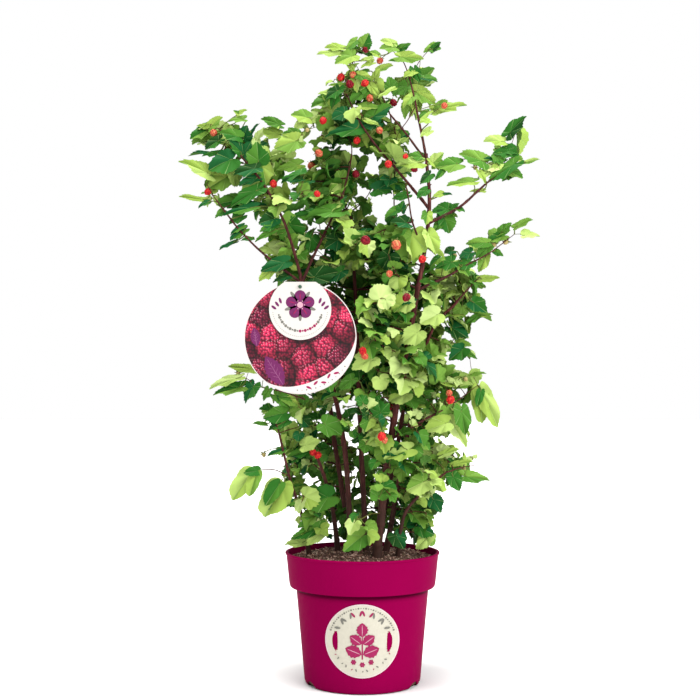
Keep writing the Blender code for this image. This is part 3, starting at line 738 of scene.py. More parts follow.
def decal(pile, loops, place, low, high, slot=0, times=0):
    """A thin closed plate between two lifts, from flat loops, laid where place puts it."""
    flat = [p for loop in loops for p in loop]
    corners = [[Vector((x, z, 0)) for x, z in loop] for loop in loops]
    faces = [tuple(f) for f in geometry.tessellate_polygon(corners)]
    fixed = []
    for a, b, c in faces:
        turn = (flat[b][0] - flat[a][0]) * (flat[c][1] - flat[a][1]) - (flat[c][0] - flat[a][0]) * (flat[b][1] - flat[a][1])
        if abs(turn) > 1e-14:
            fixed.append((a, b, c) if turn > 0 else (a, c, b))
    points, faces = refine(flat, fixed, times)
    count = len(points)
    used = {}
    for a, b, c in faces:
        for e in ((a, b), (b, c), (c, a)):
            used[e] = True
    rim = [e for e in used if (e[1], e[0]) not in used]
    all_points = [place(x, z, high) for x, z in points] + [place(x, z, low) for x, z in points]
    all_faces = [(a, b, c) for a, b, c in faces] + [(c + count, b + count, a + count) for a, b, c in faces]
    for a, b in rim:
        all_faces += [(b, a, a + count), (b, a + count, b + count)]
    pile.add(all_points, all_faces, slot)


def ring(cx, cz, radius, sides=24, start=0.0, squeeze=1.0):
    return [
        (cx + radius * math.cos(start + 2 * math.pi * k / sides), cz + radius * squeeze * math.sin(start + 2 * math.pi * k / sides))
        for k in range(sides)
    ]


def petal(cx, cz, toward, length, width, points=9, tip=1.0):
    """A pointed oval from a centre, in the direction toward."""
    out = []
    for k in range(points * 2):
        t = k / (points * 2) * 2 * math.pi
        along = (1 - math.cos(t)) / 2
        across = math.sin(t) * width / 2 * (1 - (1 - tip) * along)
        along = along * length
        out.append((cx + along * math.cos(toward) - across * math.sin(toward), cz + along * math.sin(toward) + across * math.cos(toward)))
    return out


def toothed_leaf(cx, cz, toward, length, width, teeth=6):
    """A leaf outline with saw teeth along both sides."""
    side = []
    for k in range(teeth * 2 + 1):
        t = k / (teeth * 2)
        half = width / 2 * math.sin(math.pi * min(1, t * 1.02)) ** 0.75 * (1.12 if k % 2 else 0.92)
        side.append((t * length, max(half, 0.0002)))
    outline = [(0, 0)] + side[1:-1] + [(length, 0)] + [(a, -b) for a, b in reversed(side[1:-1])]
    c, s = math.cos(toward), math.sin(toward)
    return [(cx + a * c - b * s, cz + a * s + b * c) for a, b in outline]


# ---- round print on the pot: a sprig with three berries inside a dotted band
def on_pot(x, z, lift):
    radius = body_radius(LABEL_HEIGHT + z) + lift
    return (x, -math.sqrt(radius * radius - x * x), LABEL_HEIGHT + z)


pile = Pile()
decal(pile, [ring(0, 0, LABEL_RADIUS, 96)], on_pot, 0.0002, 0.00085, 1, 2)
decal(pile, [ring(0, 0, LABEL_RADIUS - 0.0011, 96)], on_pot, 0.0003, 0.00098, 0, 2)
label = pile.build("pot_label_disc", [label_cream, label_edge], angle=40)
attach(label, "root")
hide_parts("pot_label")

pile = Pile()
LOW, HIGH = 0.00085, 0.00112
stem = [(-0.0011, -0.026), (0.0011, -0.026), (0.0010, -0.005), (0.0006, 0.012), (-0.0006, 0.012), (-0.0010, -0.005)]
decal(pile, [stem], on_pot, LOW, HIGH, 0, 1)
for side in (-1, 1):
    for cz, reach, wide, lean in ((-0.019, 0.0245, 0.0175, 0.36), (-0.004, 0.0200, 0.0150, 0.62)):
        toward = math.pi / 2 - side * (math.pi / 2 - lean)
        decal(pile, [toothed_leaf(side * 0.0012, cz, toward, reach, wide, 5)], on_pot, LOW, HIGH, 0, 2)
        decal(pile, [petal(side * 0.0030, cz + 0.0007, toward, reach * 0.80, 0.0009, 6)], on_pot, HIGH - 0.0001, HIGH + 0.00012, 2, 1)
decal(pile, [toothed_leaf(0, 0.0060, math.pi / 2, 0.0205, 0.0160, 5)], on_pot, LOW, HIGH, 0, 2)
decal(pile, [petal(0, 0.0080, math.pi / 2, 0.0155, 0.0009, 6)], on_pot, HIGH - 0.0001, HIGH + 0.00012, 2, 1)
for cx, cz in ((-0.0125, -0.0300), (0.0, -0.0335), (0.0125, -0.0300)):
    for a, b in ((0, 0), *[(0.0026 * math.cos(t * math.pi / 3), 0.0026 * math.sin(t * math.pi / 3)) for t in range(6)]):
        decal(pile, [ring(cx + a, cz + b, 0.00135, 12)], on_pot, LOW, HIGH, 0)
for k in range(34):
    t = math.radians(18 + k * 144 / 33)
    inner = LABEL_RADIUS - 0.0058
    decal(pile, [ring(inner * math.cos(t), inner * math.sin(t), 0.00085 if k % 3 else 0.0013, 8)], on_pot, LOW, HIGH, 1)
for k in range(12):
    t = math.radians(30 + k * 120 / 11)
    inner = LABEL_RADIUS - 0.0172
    decal(pile, [petal(inner * math.cos(t), inner * math.sin(t), t + (0.45 if k % 2 else -0.45), 0.0088, 0.0032, 6)], on_pot, LOW, HIGH, 0 if 3 < k < 8 else 1, 1)
for k in range(13):
    t = math.radians(207 + k * 126 / 12)
    inner = LABEL_RADIUS - 0.0085
    size = 0.0042 if k % 2 else 0.0030
    decal(pile, [petal(inner * math.cos(t), inner * math.sin(t), t + (0.5 if k % 2 else -0.5) + math.pi, size, size * 0.45, 5)], on_pot, LOW, HIGH, 1 if k % 4 else 0)
motif = pile.build("pot_label_motif", [ink_magenta, ink_grey, ink_pink], angle=40)
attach(motif, "root")

# ---- hanging card: a print of ripe fruit with leaves and a cream crescent
tag_middle = seen(299.7, 336.4, TAG_DEPTH * 1000)
badge_middle = seen(299.6, 307.0, TAG_DEPTH * 1000)
hole_at = seen(299.5, 284.6, TAG_DEPTH * 1000)
flat_z = seen(0, 279.6, TAG_DEPTH * 1000)[2]
tag_face = TAG_DEPTH - TAG_THICK


def on_tag(x, z, lift):
    return (tag_middle[0] + x, tag_face - lift, tag_middle[2] + z)


mat, tree, p = shader_of("fruit_print")
where = tree.nodes.new("ShaderNodeSeparateXYZ")
tree.links.new(tree.nodes.new("ShaderNodeTexCoord").outputs["Object"], where.inputs[0])
flat = tree.nodes.new("ShaderNodeCombineXYZ")
tree.links.new(where.outputs[0], flat.inputs[0])
tree.links.new(where.outputs[2], flat.inputs[1])


def cells(scale, shift, even, feature="F1"):
    move = tree.nodes.new("ShaderNodeVectorMath")
    move.operation = "ADD"
    move.inputs[1].default_value = shift
    tree.links.new(flat.outputs[0], move.inputs[0])
    node = tree.nodes.new("ShaderNodeTexVoronoi")
    node.voronoi_dimensions = "2D"
    node.feature = feature
    node.inputs["Scale"].default_value = scale
    node.inputs["Randomness"].default_value = even
    tree.links.new(move.outputs[0], node.inputs["Vector"])
    return node.outputs["Distance"], node.outputs.get("Color")


bead, _ = cells(265, (0, 0, 0), 0.78)
glint, _ = cells(265, (0.0008, -0.0010, 0), 0.78)
FRUIT = (0.013, 0.0095, 0)
fruit, tint = cells(37, FRUIT, 0.80)
lit, _ = cells(37, (FRUIT[0] + 0.0045, FRUIT[1] - 0.0055, 0), 0.80)
rim, _ = cells(37, FRUIT, 0.80, "DISTANCE_TO_EDGE")
base = ramp(tree, bead, [(0.0, (0.42, 0.014, 0.055)), (0.30, (0.30, 0.007, 0.036)), (0.52, (0.125, 0.002, 0.020)), (0.75, (0.055, 0.001, 0.012))])
tone = tree.nodes.new("ShaderNodeSeparateColor")
tree.links.new(tint, tone.inputs[0])
fruit_tone = ramp(tree, tone.outputs[0], [(0.0, (0.34, 0.24, 0.50)), (0.35, (0.62, 0.50, 0.72)), (0.65, (1.0, 1.0, 1.0)), (1.0, (1.5, 1.6, 1.5))])
colour = mix_colour(tree, 1.0, base, fruit_tone, "MULTIPLY")
round_off = ramp(tree, lit, [(0.0, (1.45, 1.45, 1.45)), (0.30, (1.05, 1.05, 1.05)), (0.62, (0.45, 0.42, 0.44)), (0.9, (0.25, 0.22, 0.25))])
colour = mix_colour(tree, 1.0, colour, round_off, "MULTIPLY")
gaps = ramp(tree, rim, [(0.0, (0.14, 0.08, 0.12)), (0.06, (0.50, 0.44, 0.48)), (0.13, (1, 1, 1))])
colour = mix_colour(tree, 1.0, colour, gaps, "MULTIPLY")
spark = ramp(tree, glint, [(0.0, (1, 1, 1)), (0.16, (0.5, 0.5, 0.5)), (0.28, (0, 0, 0))])
near = ramp(tree, lit, [(0.18, (0.9, 0.9, 0.9)), (0.50, (0.12, 0.12, 0.12)), (0.7, (0, 0, 0))])
colour = mix_colour(tree, maths(tree, "MULTIPLY", spark, near), colour, (0.58, 0.22, 0.28))
tree.links.new(colour, p.inputs["Base Color"])
p.inputs["Roughness"].default_value = 0.45
p.inputs["Specular IOR Level"].default_value = 0.25
fruit_print = mat

hole = [(hole_at[0] - tag_middle[0], hole_at[2] - tag_middle[2])]
hole_loop = ring(hole[0][0], hole[0][1], TAG_HOLE, 20)
pile = Pile()
decal(pile, [ring(0, 0, TAG_RADIUS, 128), hole_loop], on_tag, -TAG_THICK, -0.0001, 0)
tag_card = pile.build("tag_card", [card_white], angle=40)
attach(tag_card, "root")
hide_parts("tag")

pile = Pile()
decal(pile, [ring(0, 0, TAG_RADIUS - 0.0013, 128), ring(hole[0][0], hole[0][1], TAG_HOLE + 0.0008, 20)], on_tag, -0.0003, 0.0, 0)
fruit_face = pile.build("tag_fruit_print", [fruit_print], angle=40)
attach(fruit_face, "root")

pile = Pile()
# cream crescent low on the right
band = []
R = TAG_RADIUS - 0.0013
start, stop = math.radians(-128), math.radians(2)
for k in range(49):
    t = start + (stop - start) * k / 48
    band.append((R * math.cos(t), R * math.sin(t)))
for k in range(1, 48):
    t = stop + (start - stop) * k / 48
    inner = R - 0.0150 * math.sin(math.pi * k / 48) ** 1.3
    band.append((inner * math.cos(t), inner * math.sin(t)))
decal(pile, [band], on_tag, -0.0001, 0.00012, 0)
# two purple leaves on the left, the lower one larger
for cx, cz, toward, length, width in ((-0.0235, -0.0665, 2.13, 0.0480, 0.0235), (-0.0610, -0.0120, 1.72, 0.0270, 0.0135)):
    decal(pile, [toothed_leaf(cx, cz, toward, length, width, 8)], on_tag, -0.0001, 0.00018, 1)
    decal(pile, [petal(cx, cz, toward, length * 0.92, 0.0011, 8)], on_tag, 0.0001, 0.00028, 2)
    for k in range(1, 6):
        for side in (-1, 1):
            a = length * (0.12 + 0.14 * k)
            decal(pile, [petal(cx + a * math.cos(toward), cz + a * math.sin(toward), toward + side * 0.75, width * 0.42 * math.sin(math.pi * min(0.95, 0.15 + a / length)) , 0.0006, 5)], on_tag, 0.0001, 0.00028, 2)
# small sprig of leaves on the cream band, and a row of dots along it
for k in range(5):
    t = math.radians(-83 + k * 9)
    cx, cz = (R - 0.0090) * math.cos(t), (R - 0.0090) * math.sin(t)
    decal(pile, [petal(cx, cz, t + math.pi / 2 + (0.5 if k % 2 else -0.5), 0.0078, 0.0032, 6)], on_tag, 0.0001, 0.00026, 3)
for k in range(13):
    t = math.radians(-93 + k * 5)
    decal(pile, [ring((R - 0.0030) * math.cos(t), (R - 0.0042) * math.sin(t), 0.0007 if k % 2 else 0.0010, 8)], on_tag, 0.0001, 0.00026, 4)
tag_motif = pile.build("tag_motif", [card_white, ink_purple, ink_violet, ink_magenta, ink_grey], angle=40)
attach(tag_motif, "root")

# ---- cream badge over the card's upper part
badge_back = TAG_DEPTH - TAG_THICK - 0.0004


def on_badge(x, z, lift):
    return (badge_middle[0] + x, badge_back - lift, badge_middle[2] + z)


top = flat_z - badge_middle[2]
outline = []
for k in range(96):
    a = math.radians(90) + 2 * math.pi * (k + 0.5) / 96
    x, z = BADGE_RADIUS * math.cos(a), BADGE_RADIUS * math.sin(a)
    if z > top:
        x, z = math.copysign(math.sqrt(BADGE_RADIUS ** 2 - top ** 2), x), top
    if not outline or math.dist(outline[-1], (x, z)) > 1e-5:
        outline.append((x, z))
if math.dist(outline[0], outline[-1]) < 1e-5:
    outline.pop()
badge_hole = ring(hole_at[0] - badge_middle[0], hole_at[2] - badge_middle[2], TAG_HOLE, 20)
pile = Pile()
decal(pile, [outline, badge_hole], on_badge, 0.0, TAG_THICK, 0)
badge = pile.build("tag_badge_card", [badge_cream], angle=40)
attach(badge, "root")
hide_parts("tag_badge")

pile = Pile()
LOW, HIGH = TAG_THICK - 0.0001, TAG_THICK + 0.00016
for k in range(5):
    t = math.radians(90 + 72 * k)
    cx, cz = 0.0030 * math.cos(t), 0.0055 + 0.0030 * math.sin(t)
    decal(pile, [petal(cx, cz, t, 0.0178, 0.0168, 10)], on_badge, LOW, HIGH, 3)
    decal(pile, [petal(cx + 0.004 * math.cos(t), cz + 0.004 * math.sin(t), t, 0.0095, 0.0016, 6)], on_badge, HIGH - 0.0001, HIGH + 0.00014, 0)
    t += math.radians(36)
    decal(pile, [petal(0.0105 * math.cos(t), 0.0055 + 0.0105 * math.sin(t), t, 0.0125, 0.0046, 6)], on_badge, LOW, HIGH, 1)
decal(pile, [ring(0, 0.0055, 0.0042, 20)], on_badge, HIGH - 0.0001, HIGH + 0.00018, 2)
for k in range(6):
    t = math.radians(60 * k)
    decal(pile, [ring(0.0062 * math.cos(t), 0.0055 + 0.0062 * math.sin(t), 0.0008, 8)], on_badge, HIGH - 0.0001, HIGH + 0.00018, 2)
for k in range(23):
    t = math.radians(196 + k * 148 / 22)
    inner = BADGE_RADIUS - 0.0125
    decal(pile, [ring(inner * math.cos(t), inner * math.sin(t), 0.0021 if k % 2 else 0.0013, 10)], on_badge, LOW, HIGH, 0 if 10 < k < 19 else 1)
for k in range(41):
    t = math.radians(188 + k * 164 / 40)
    inner = BADGE_RADIUS - 0.0050
    decal(pile, [ring(inner * math.cos(t), inner * math.sin(t), 0.00055, 6)], on_badge, LOW, HIGH, 1)
for side in (-1, 1):
    for k in range(3):
        cx = side * (0.0265 + 0.0035 * k)
        decal(pile, [petal(cx, 0.0075 - 0.004 * k, math.pi / 2 - side * (0.35 + 0.3 * k), 0.0085, 0.0036, 6)], on_badge, LOW, HIGH, 3)
badge_motif = pile.build("tag_badge_motif", [ink_magenta, ink_grey, ink_pink, ink_purple], angle=40)
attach(badge_motif, "root")

# ---- plastic hook through the card's hole and round the cane
path, radii = lines["cane_left"]
near = int(np.argmin(np.abs(path[:, 2] - hole_at[2] - 0.004)))
hang_on, hang_radius = path[near], radii[near]
turn_radius = hang_radius + 0.0009 + 0.0007
front_y = TAG_DEPTH - TAG_THICK * 2 - 0.0004 - 0.0026
first = np.array((hole_at[0], TAG_DEPTH + 0.004, hole_at[2] + 0.0002))
enter = hang_on + (turn_radius, -0.004, 0)
route = [np.array((hole_at[0], front_y + 0.001, hole_at[2])), first, first * 0.6 + enter * 0.4 + (0, 0, 0.0016), first * 0.2 + enter * 0.8 + (0, 0, 0.001)]
for k in range(10):
    a = math.radians(-10 + 30 * k)
    route.append(hang_on + (turn_radius * math.cos(a), turn_radius * math.sin(a), -0.0006 * k + 0.001))
route = smooth_path(route, 0.0012)
pile = Pile()
pts, faces = tube(route, 0.0009, 10)
pile.add(pts, faces)
head = [(hole_at[0], front_y - 0.0014, hole_at[2]), (hole_at[0], front_y - 0.0011, hole_at[2]), (hole_at[0], front_y - 0.0002, hole_at[2]), (hole_at[0], front_y + 0.0012, hole_at[2]), (hole_at[0], front_y + 0.0016, hole_at[2])]
pts, faces = tube(head, [0.0014, 0.0022, 0.0025, 0.0025, 0.0022], 20)
pile.add(pts, faces)
hook_green = plastic("hook_green", (0.012, 0.045, 0.022), (0.018, 0.060, 0.030), 0.40)
hook = pile.build("tag_hook_tie", [hook_green], angle=40)
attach(hook, "root")
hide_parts("tag_hook")


# ================================================================ places for leaves
# Sky shows through the crown here, in the front view: middle across and down, half width and height
SKY = [
    # between the leaves
    (386, 57, 6, 4), (399, 71, 8, 9), (383, 80, 8, 7), (362, 64, 5, 4), (390, 74, 5, 4), (408, 64, 10, 2), (423, 63, 6, 3), (396, 115, 5, 6), (411, 130, 7, 7),
    (407, 146, 8, 2), (427, 112, 8, 3), (315, 135, 6, 4), (309, 146, 6, 3), (303, 163, 9, 9), (230, 190, 11, 6),
    (250, 222, 6, 12), (264, 243, 8, 4), (319, 260, 10, 7), (418, 134, 10, 4), (342, 263, 3, 5), (346, 154, 4, 3), (360, 157, 4, 6),
    (378, 165, 10, 7), (372, 175, 11, 6), (364, 200, 11, 5), (386, 206, 15, 9), (375, 222, 8, 5), (413, 183, 6, 8),
    (415, 203, 3, 9), (437, 176, 5, 5), (455, 173, 14, 4), (445, 187, 7, 4), (460, 196, 14, 6), (419, 225, 4, 4),
    (322, 234, 5, 6), (377, 364, 5, 3), (353, 403, 4, 6), (357, 423, 5, 7), (354, 446, 6, 4), (354, 475, 4, 3), (292, 422, 7, 5),
    (278, 408, 3, 3), (240, 382, 7, 3), (453, 441, 9, 4), (312, 482, 6, 6), (281, 461, 6, 3), (272, 475, 12, 4),
    (303, 514, 5, 3), (331, 528, 3, 4), (391, 534, 4, 2), (420, 204, 4, 8), (439, 441, 5, 3), (471, 313, 4, 5), (443, 335, 3, 3),
]
# Canes show here, with no leaf in front of them
CANES_SHOW = [
    (328, 492, 6, 34), (346, 474, 7, 46), (364, 492, 6, 40), (384, 522, 8, 28), (396, 414, 5, 14), (337, 412, 7, 12),
    (336, 524, 8, 14), (418, 300, 5, 60), (428, 190, 4, 40),
]
# Clear of leaves just outside the crown's outline
OUTSIDE = [
    (340, 32, 20, 6), (308, 72, 14, 18), (376, 36, 4, 8), (398, 36, 8, 6), (418, 34, 8, 10), (322, 38, 8, 4), (440, 60, 8, 12), (446, 90, 5, 8),
    (273, 106, 18, 8), (202, 112, 10, 8), (258, 106, 8, 14), (182, 142, 8, 6), (180, 180, 10, 8), (245, 272, 8, 12),
    (478, 222, 18, 8), (516, 248, 8, 8), (498, 292, 8, 6), (486, 348, 10, 10), (452, 362, 5, 3), (500, 452, 14, 14),
    (494, 300, 9, 16), (257, 254, 6, 6), (470, 367, 7, 3), (268, 445, 7, 4), (449, 497, 5, 5), (446, 524, 9, 16), (466, 447, 9, 5), (288, 515, 4, 5), (222, 470, 8, 14), (270, 474, 6, 4),
    (200, 305, 42, 42), (338, 67, 8, 3), (226, 119, 4, 6), (252, 116, 5, 7), (284, 120, 3, 8), (190, 179, 12, 8),
    (196, 232, 18, 18), (232, 258, 22, 12), (450, 130, 13, 13), (466, 124, 12, 18), (500, 120, 7, 10), (537, 140, 8, 12),
    (545, 175, 16, 12), (500, 204, 32, 12), (456, 237, 15, 8), (500, 264, 13, 5), (505, 300, 14, 14), (484, 338, 11, 13),
    (486, 366, 8, 4), (512, 385, 12, 20), (484, 446, 12, 14), (466, 510, 18, 12), (448, 530, 10, 12), (284, 526, 10, 8),
    (238, 438, 26, 24), (222, 415, 22, 10), (266, 438, 8, 6), (448, 85, 8, 14), (306, 84, 12, 12), (455, 92, 14, 4),
    (380, 36, 4, 10), (418, 36, 5, 12),
]
# Leaves that can be told apart from the front: stalk end, tip, depth, width, tone (a pair paints light and shade on the
# two halves), lobed, slim or plain
OUTLINE = [
    # top
    ((341, 54), (317, 52), -12, 8, 6, 0), ((352, 56), (335, 62), -16, 15, 5, 0), ((341, 48), (325, 46), -10, 8, 5, 0),
    ((356, 41), (346, 50), -8, 8, 3, 0), ((364, 45), (369, 33), -8, 12, 4, 0), ((394, 48), (380, 48), -2, 12, 4, 0),
    ((393, 44), (381, 40), 4, 7, 6, 0), ((400, 50), (411, 44), 0, 7, 3, 0), ((402, 57), (424, 58), -6, 10, (4, 5), 0),
    ((436, 48), (424, 52), 0, 10, 3, 0), ((433, 50), (441, 42), 0, 6, 2, 0), ((368, 71), (356, 73), -8, 4, 3, 1),
    ((399, 61), (389, 60), 0, 3, 3, 1), ((380, 70), (393, 65), -6, 7, 5, 0), ((414, 72), (404, 76), -10, 8, 5, 0),
    ((418, 84), (434, 68), -14, 19, 3, 0), ((425, 79), (438, 81), -16, 8, 3, 0), ((391, 89), (389, 77), -4, 12, 3, 0),
    ((415, 70), (420, 82), -16, 8, 2, 0), ((356, 80), (357, 92), -26, 10, 6, 0), ((371, 86), (378, 95), -26, 7, 5, 0),
    ((392, 90), (378, 97), -24, 6, 5, 0), ((337, 91), (326, 98), -22, 10, 2, 0), ((364, 60), (374, 57), -12, 5, 6, 0), ((372, 63), (361, 67), -12, 7, 5, 0), ((378, 55), (370, 51), -8, 6, 5, 0), ((375, 79), (380, 69), -12, 7, 5, 0), ((352, 68), (359, 63), -12, 5, 5, 0), ((360, 75), (372, 78), -22, 8, 5, 0),
    ((350, 66), (355, 73), -12, 5, 5, 0),
    ((408, 87), (393, 96), -8, 11, 3, 0), ((417, 93), (436, 104), -14, 15, 5, 0), ((440, 110), (467, 103), -18, 12, 5, 0),
    ((439, 109), (448, 100), -14, 9, 4, 0), ((344, 86), (329, 85), -10, 5, 6, 0), ((334, 93), (318, 93), -12, 8, 6, 0),
    ((338, 91), (331, 108), -14, 11, 2, 0), ((328, 103), (311, 107), -18, 14, 4, 0), ((366, 90), (349, 103), -20, 12, 3, 0),
    ((362, 107), (379, 107), -20, 9, 4, 0), ((373, 117), (391, 104), -18, 13, 3, 0), ((345, 113), (332, 118), -20, 14, 1, 0),
    ((377, 124), (361, 128), -22, 10, 1, 0), ((366, 120), (380, 125), -26, 5, 6, 1), ((407, 106), (405, 119), -30, 8, 4, 0), ((412, 97), (403, 107), -24, 9, 4, 0), ((428, 112), (418, 119), -34, 8, 5, 0),
    ((429, 120), (420, 121), -48, 7, 5, 0), ((430, 130), (421, 135), -50, 7, 6, 0), ((356, 129), (324, 134), -26, 14, 2, 0),
    # right arm
    ((423, 156), (410, 155), -68, 9, 3, 0), ((419, 162), (398, 162), -74, 12, 5, 0), ((434, 162), (444, 151), -58, 10, 6, 0), ((432, 159), (440, 168), -60, 8, 5, 0), ((481, 171), (487, 182), -60, 6, 5, 0),
    ((458, 163), (437, 165), -60, 13, (3, 4), 0), ((483, 160), (461, 151), -56, 16, (3, 4), 0), ((503, 141), (485, 139), -44, 11, 5, 0),
    ((511, 132), (527, 114), -44, 12, 2, 0), ((513, 151), (494, 152), -46, 13, 2, 0), ((508, 150), (519, 152), -46, 8, 2, 0),
    ((502, 158), (484, 159), -48, 8, 2, 0), ((498, 156), (503, 165), -50, 10, 3, 0), ((514, 158), (524, 160), -44, 9, 4, 0),
    ((527, 162), (541, 158), -44, 4, 6, 1), ((498, 166), (482, 169), -56, 10, 7, 0), ((514, 164), (489, 180), -60, 11, (3, 2), 0), ((500, 165), (492, 175), -58, 8, 6, 0),
    ((512, 176), (503, 180), -46, 7, 3, 0), ((512, 172), (524, 177), -46, 11, 3, 0), ((472, 181), (448, 183), -60, 8, (4, 5), 0),
    ((492, 170), (479, 176), -58, 7, 6, 0), ((483, 190), (471, 190), -60, 4, 5, 0), ((445, 168), (436, 178), -66, 5, 3, 0),
    ((443, 193), (434, 195), -62, 6, 5, 0), ((444, 193), (453, 193), -62, 3, 1, 1), ((430, 174), (421, 182), -78, 8, 2, 0),
    ((427, 189), (418, 196), -78, 8, 2, 0), ((449, 209), (432, 211), -68, 13, 2, 0), ((443, 212), (437, 218), -68, 7, 1, 0),
    ((452, 208), (460, 202), -66, 5, 2, 0), ((458, 208), (466, 210), -66, 7, 2, 0), ((428, 213), (427, 223), -80, 9, 5, 0),
    ((446, 218), (450, 232), -64, 14, (2, 3), 0), ((442, 222), (433, 231), -64, 8, 3, 0), ((402, 209), (404, 199), -60, 8, 2, 0), ((407, 194), (393, 197), -62, 7, 2, 0),
    ((399, 208), (385, 216), -58, 8, 2, 0), ((408, 222), (391, 219), -58, 12, 1, 0), ((378, 190), (403, 188), -66, 18, (1, 2), 0),
    ((412, 234), (408, 261), -96, 27, (4, 5), 0), ((430, 234), (438, 252), -92, 13, (6, 5), 0), ((428, 244), (446, 256), -94, 8, 5, 0),
    # upper right branch
    ((486, 243), (467, 243), -46, 9, 3, 0), ((503, 237), (485, 243), -42, 9, 4, 0), ((503, 232), (512, 223), -40, 8, 3, 0),
    ((518, 227), (533, 219), -38, 7, 4, 0), ((496, 252), (504, 256), -40, 6, 3, 0), ((471, 253), (460, 258), -42, 9, 1, 0),
    ((480, 252), (486, 262), -44, 10, 5, 0), ((453, 251), (445, 253), -46, 8, 1, 0), ((470, 262), (455, 269), -46, 11, 2, 0), ((452, 262), (436, 267), -60, 12, 2, 0),
    ((486, 258), (479, 272), -40, 9, 5, 0), ((488, 248), (476, 258), -42, 10, 3, 0), ((462, 266), (470, 276), -44, 10, 3, 0), ((440, 258), (430, 265), -66, 8, 4, 0),
    ((482, 280), (500, 278), -32, 7, 5, 0),
    ((474, 282), (484, 286), -30, 6, 3, 0), ((474, 304), (487, 313), -26, 14, 2, 0), ((478, 318), (466, 326), -26, 6, 3, 0),
    ((478, 319), (492, 316), -26, 3, 4, 1), ((452, 330), (468, 339), -32, 14, 1, 0), ((458, 345), (471, 347), -30, 7, 4, 0),
    ((463, 352), (477, 360), -30, 6, 3, 0), ((462, 351), (449, 361), -34, 14, 2, 0), ((471, 376), (486, 374), -36, 4, 4, 1), ((438, 314), (421, 322), -92, 17, 6, 0),
    # left arm
    ((208, 130), (189, 138), -28, 14, 4, 0), ((210, 128), (196, 125), -26, 6, 5, 0), ((208, 136), (191, 144), -30, 10, 4, 0),
    ((210, 127), (221, 116), -24, 10, 5, 0), ((242, 119), (228, 120), -24, 8, 4, 0), ((238, 114), (246, 109), -22, 5, 5, 0),
    ((238, 114), (233, 110), -22, 4, 5, 0), ((243, 138), (246, 125), -32, 16, 1, 0), ((250, 134), (258, 123), -30, 4, 1, 1),
    ((240, 151), (228, 139), -36, 11, 2, 0), ((243, 154), (250, 141), -36, 12, 1, 0), ((237, 136), (217, 130), -32, 12, 2, 0),
    ((218, 140), (204, 148), -32, 9, 2, 0), ((214, 153), (187, 152), -28, 4, 1, 1), ((216, 153), (201, 155), -30, 5, 2, 0),
    ((230, 159), (207, 168), -40, 20, 2, 0), ((207, 173), (178, 158), -34, 13, (6, 5), 0), ((226, 178), (205, 189), -36, 18, 4, 0),
    ((254, 168), (232, 172), -46, 14, 1, 0), ((256, 178), (238, 184), -50, 9, 1, 0), ((300, 172), (280, 180), -50, 9, 2, 0), ((258, 160), (256, 141), -40, 18, 3, 0), ((277, 136), (261, 134), -24, 12, 5, 0),
    ((296, 141), (274, 147), -28, 17, 4, 0), ((296, 134), (282, 133), -24, 9, 5, 0), ((279, 126), (261, 119), -14, 9, 3, 0),
    ((287, 151), (267, 157), -34, 12, 7, 0), ((307, 118), (291, 114), -16, 13, 5, 0), ((303, 122), (294, 129), -18, 8, 6, 0),
    ((316, 117), (304, 125), -20, 10, 6, 0), ((262, 167), (266, 184), -52, 16, 5, 0), ((298, 166), (276, 170), -42, 10, 4, 0),
    ((290, 169), (303, 167), -40, 4, 5, 0), ((299, 178), (281, 179), -48, 7, 1, 0), ((256, 190), (229, 204), -52, 12, 2, 0),
    ((240, 201), (216, 203), -52, 14, 2, 0), ((250, 207), (222, 213), -58, 8, 3, 0), ((246, 206), (269, 206), -58, 8, 1, 0),
    ((203, 200), (178, 195), -36, 5, 5, 1), ((207, 202), (197, 207), -38, 5, 2, 0), ((241, 216), (228, 223), -50, 9, 2, 0), ((222, 211), (214, 217), -46, 6, 2, 0),
    ((243, 230), (229, 239), -54, 8, 3, 0), ((233, 242), (218, 248), -56, 5, 1, 0), ((252, 238), (240, 239), -60, 4, 2, 1),
    ((274, 218), (258, 222), -62, 14, 1, 0), ((271, 231), (254, 240), -62, 6, 3, 0), ((273, 224), (259, 230), -62, 8, 2, 0), ((241, 226), (229, 233), -54, 6, 3, 0), ((284, 262), (260, 270), -70, 12, 1, 0),
    ((272, 269), (258, 280), -68, 10, 5, 0), ((287, 276), (272, 281), -74, 7, 1, 0), ((314, 277), (337, 270), -74, 15, 0, 0),
    ((341, 272), (325, 282), -72, 10, 1, 0), ((338, 240), (325, 248), -62, 14, 1, 0), ((312, 238), (309, 252), -62, 13, 2, 0),
    ((335, 211), (305, 214), -62, 15, 3, 0), ((316, 214), (291, 216), -64, 12, 3, 0),
    # behind the card's edge and below it
    ((254, 370), (228, 366), -58, 7, 5, 0), ((236, 379), (208, 388), -58, 9, 6, 0), ((239, 388), (212, 394), -58, 10, 4, 0),
    ((358, 367), (345, 387), -60, 16, 2, 0), ((352, 380), (340, 390), -64, 10, 3, 0),
    ((253, 387), (244, 403), -60, 13, 2, 0), ((268, 391), (263, 401), -60, 7, 3, 0), ((283, 414), (263, 418), -58, 13, 2, 0),
    ((285, 422), (268, 430), -58, 9, 2, 0), ((266, 425), (252, 423), -58, 4, 3, 1), ((277, 397), (292, 408), -68, 11, 3, 0),
    ((286, 399), (300, 406), -72, 9, 5, 0), ((305, 446), (320, 441), -88, 12, 6, 0), ((310, 452), (287, 456), -72, 12, 2, 0),
    ((283, 451), (266, 456), -66, 5, 3, 1), ((325, 425), (342, 434), -84, 18, 3, 0),
    # hanging leaves low on the left
    ((251, 475), (230, 500), -84, 18, (6, 5), 2), ((282, 488), (263, 517), -86, 25, (6, 5), 2), ((284, 486), (282, 511), -84, 16, (5, 5), 2), ((279, 485), (264, 506), -108, 13, (2, 3), 2),
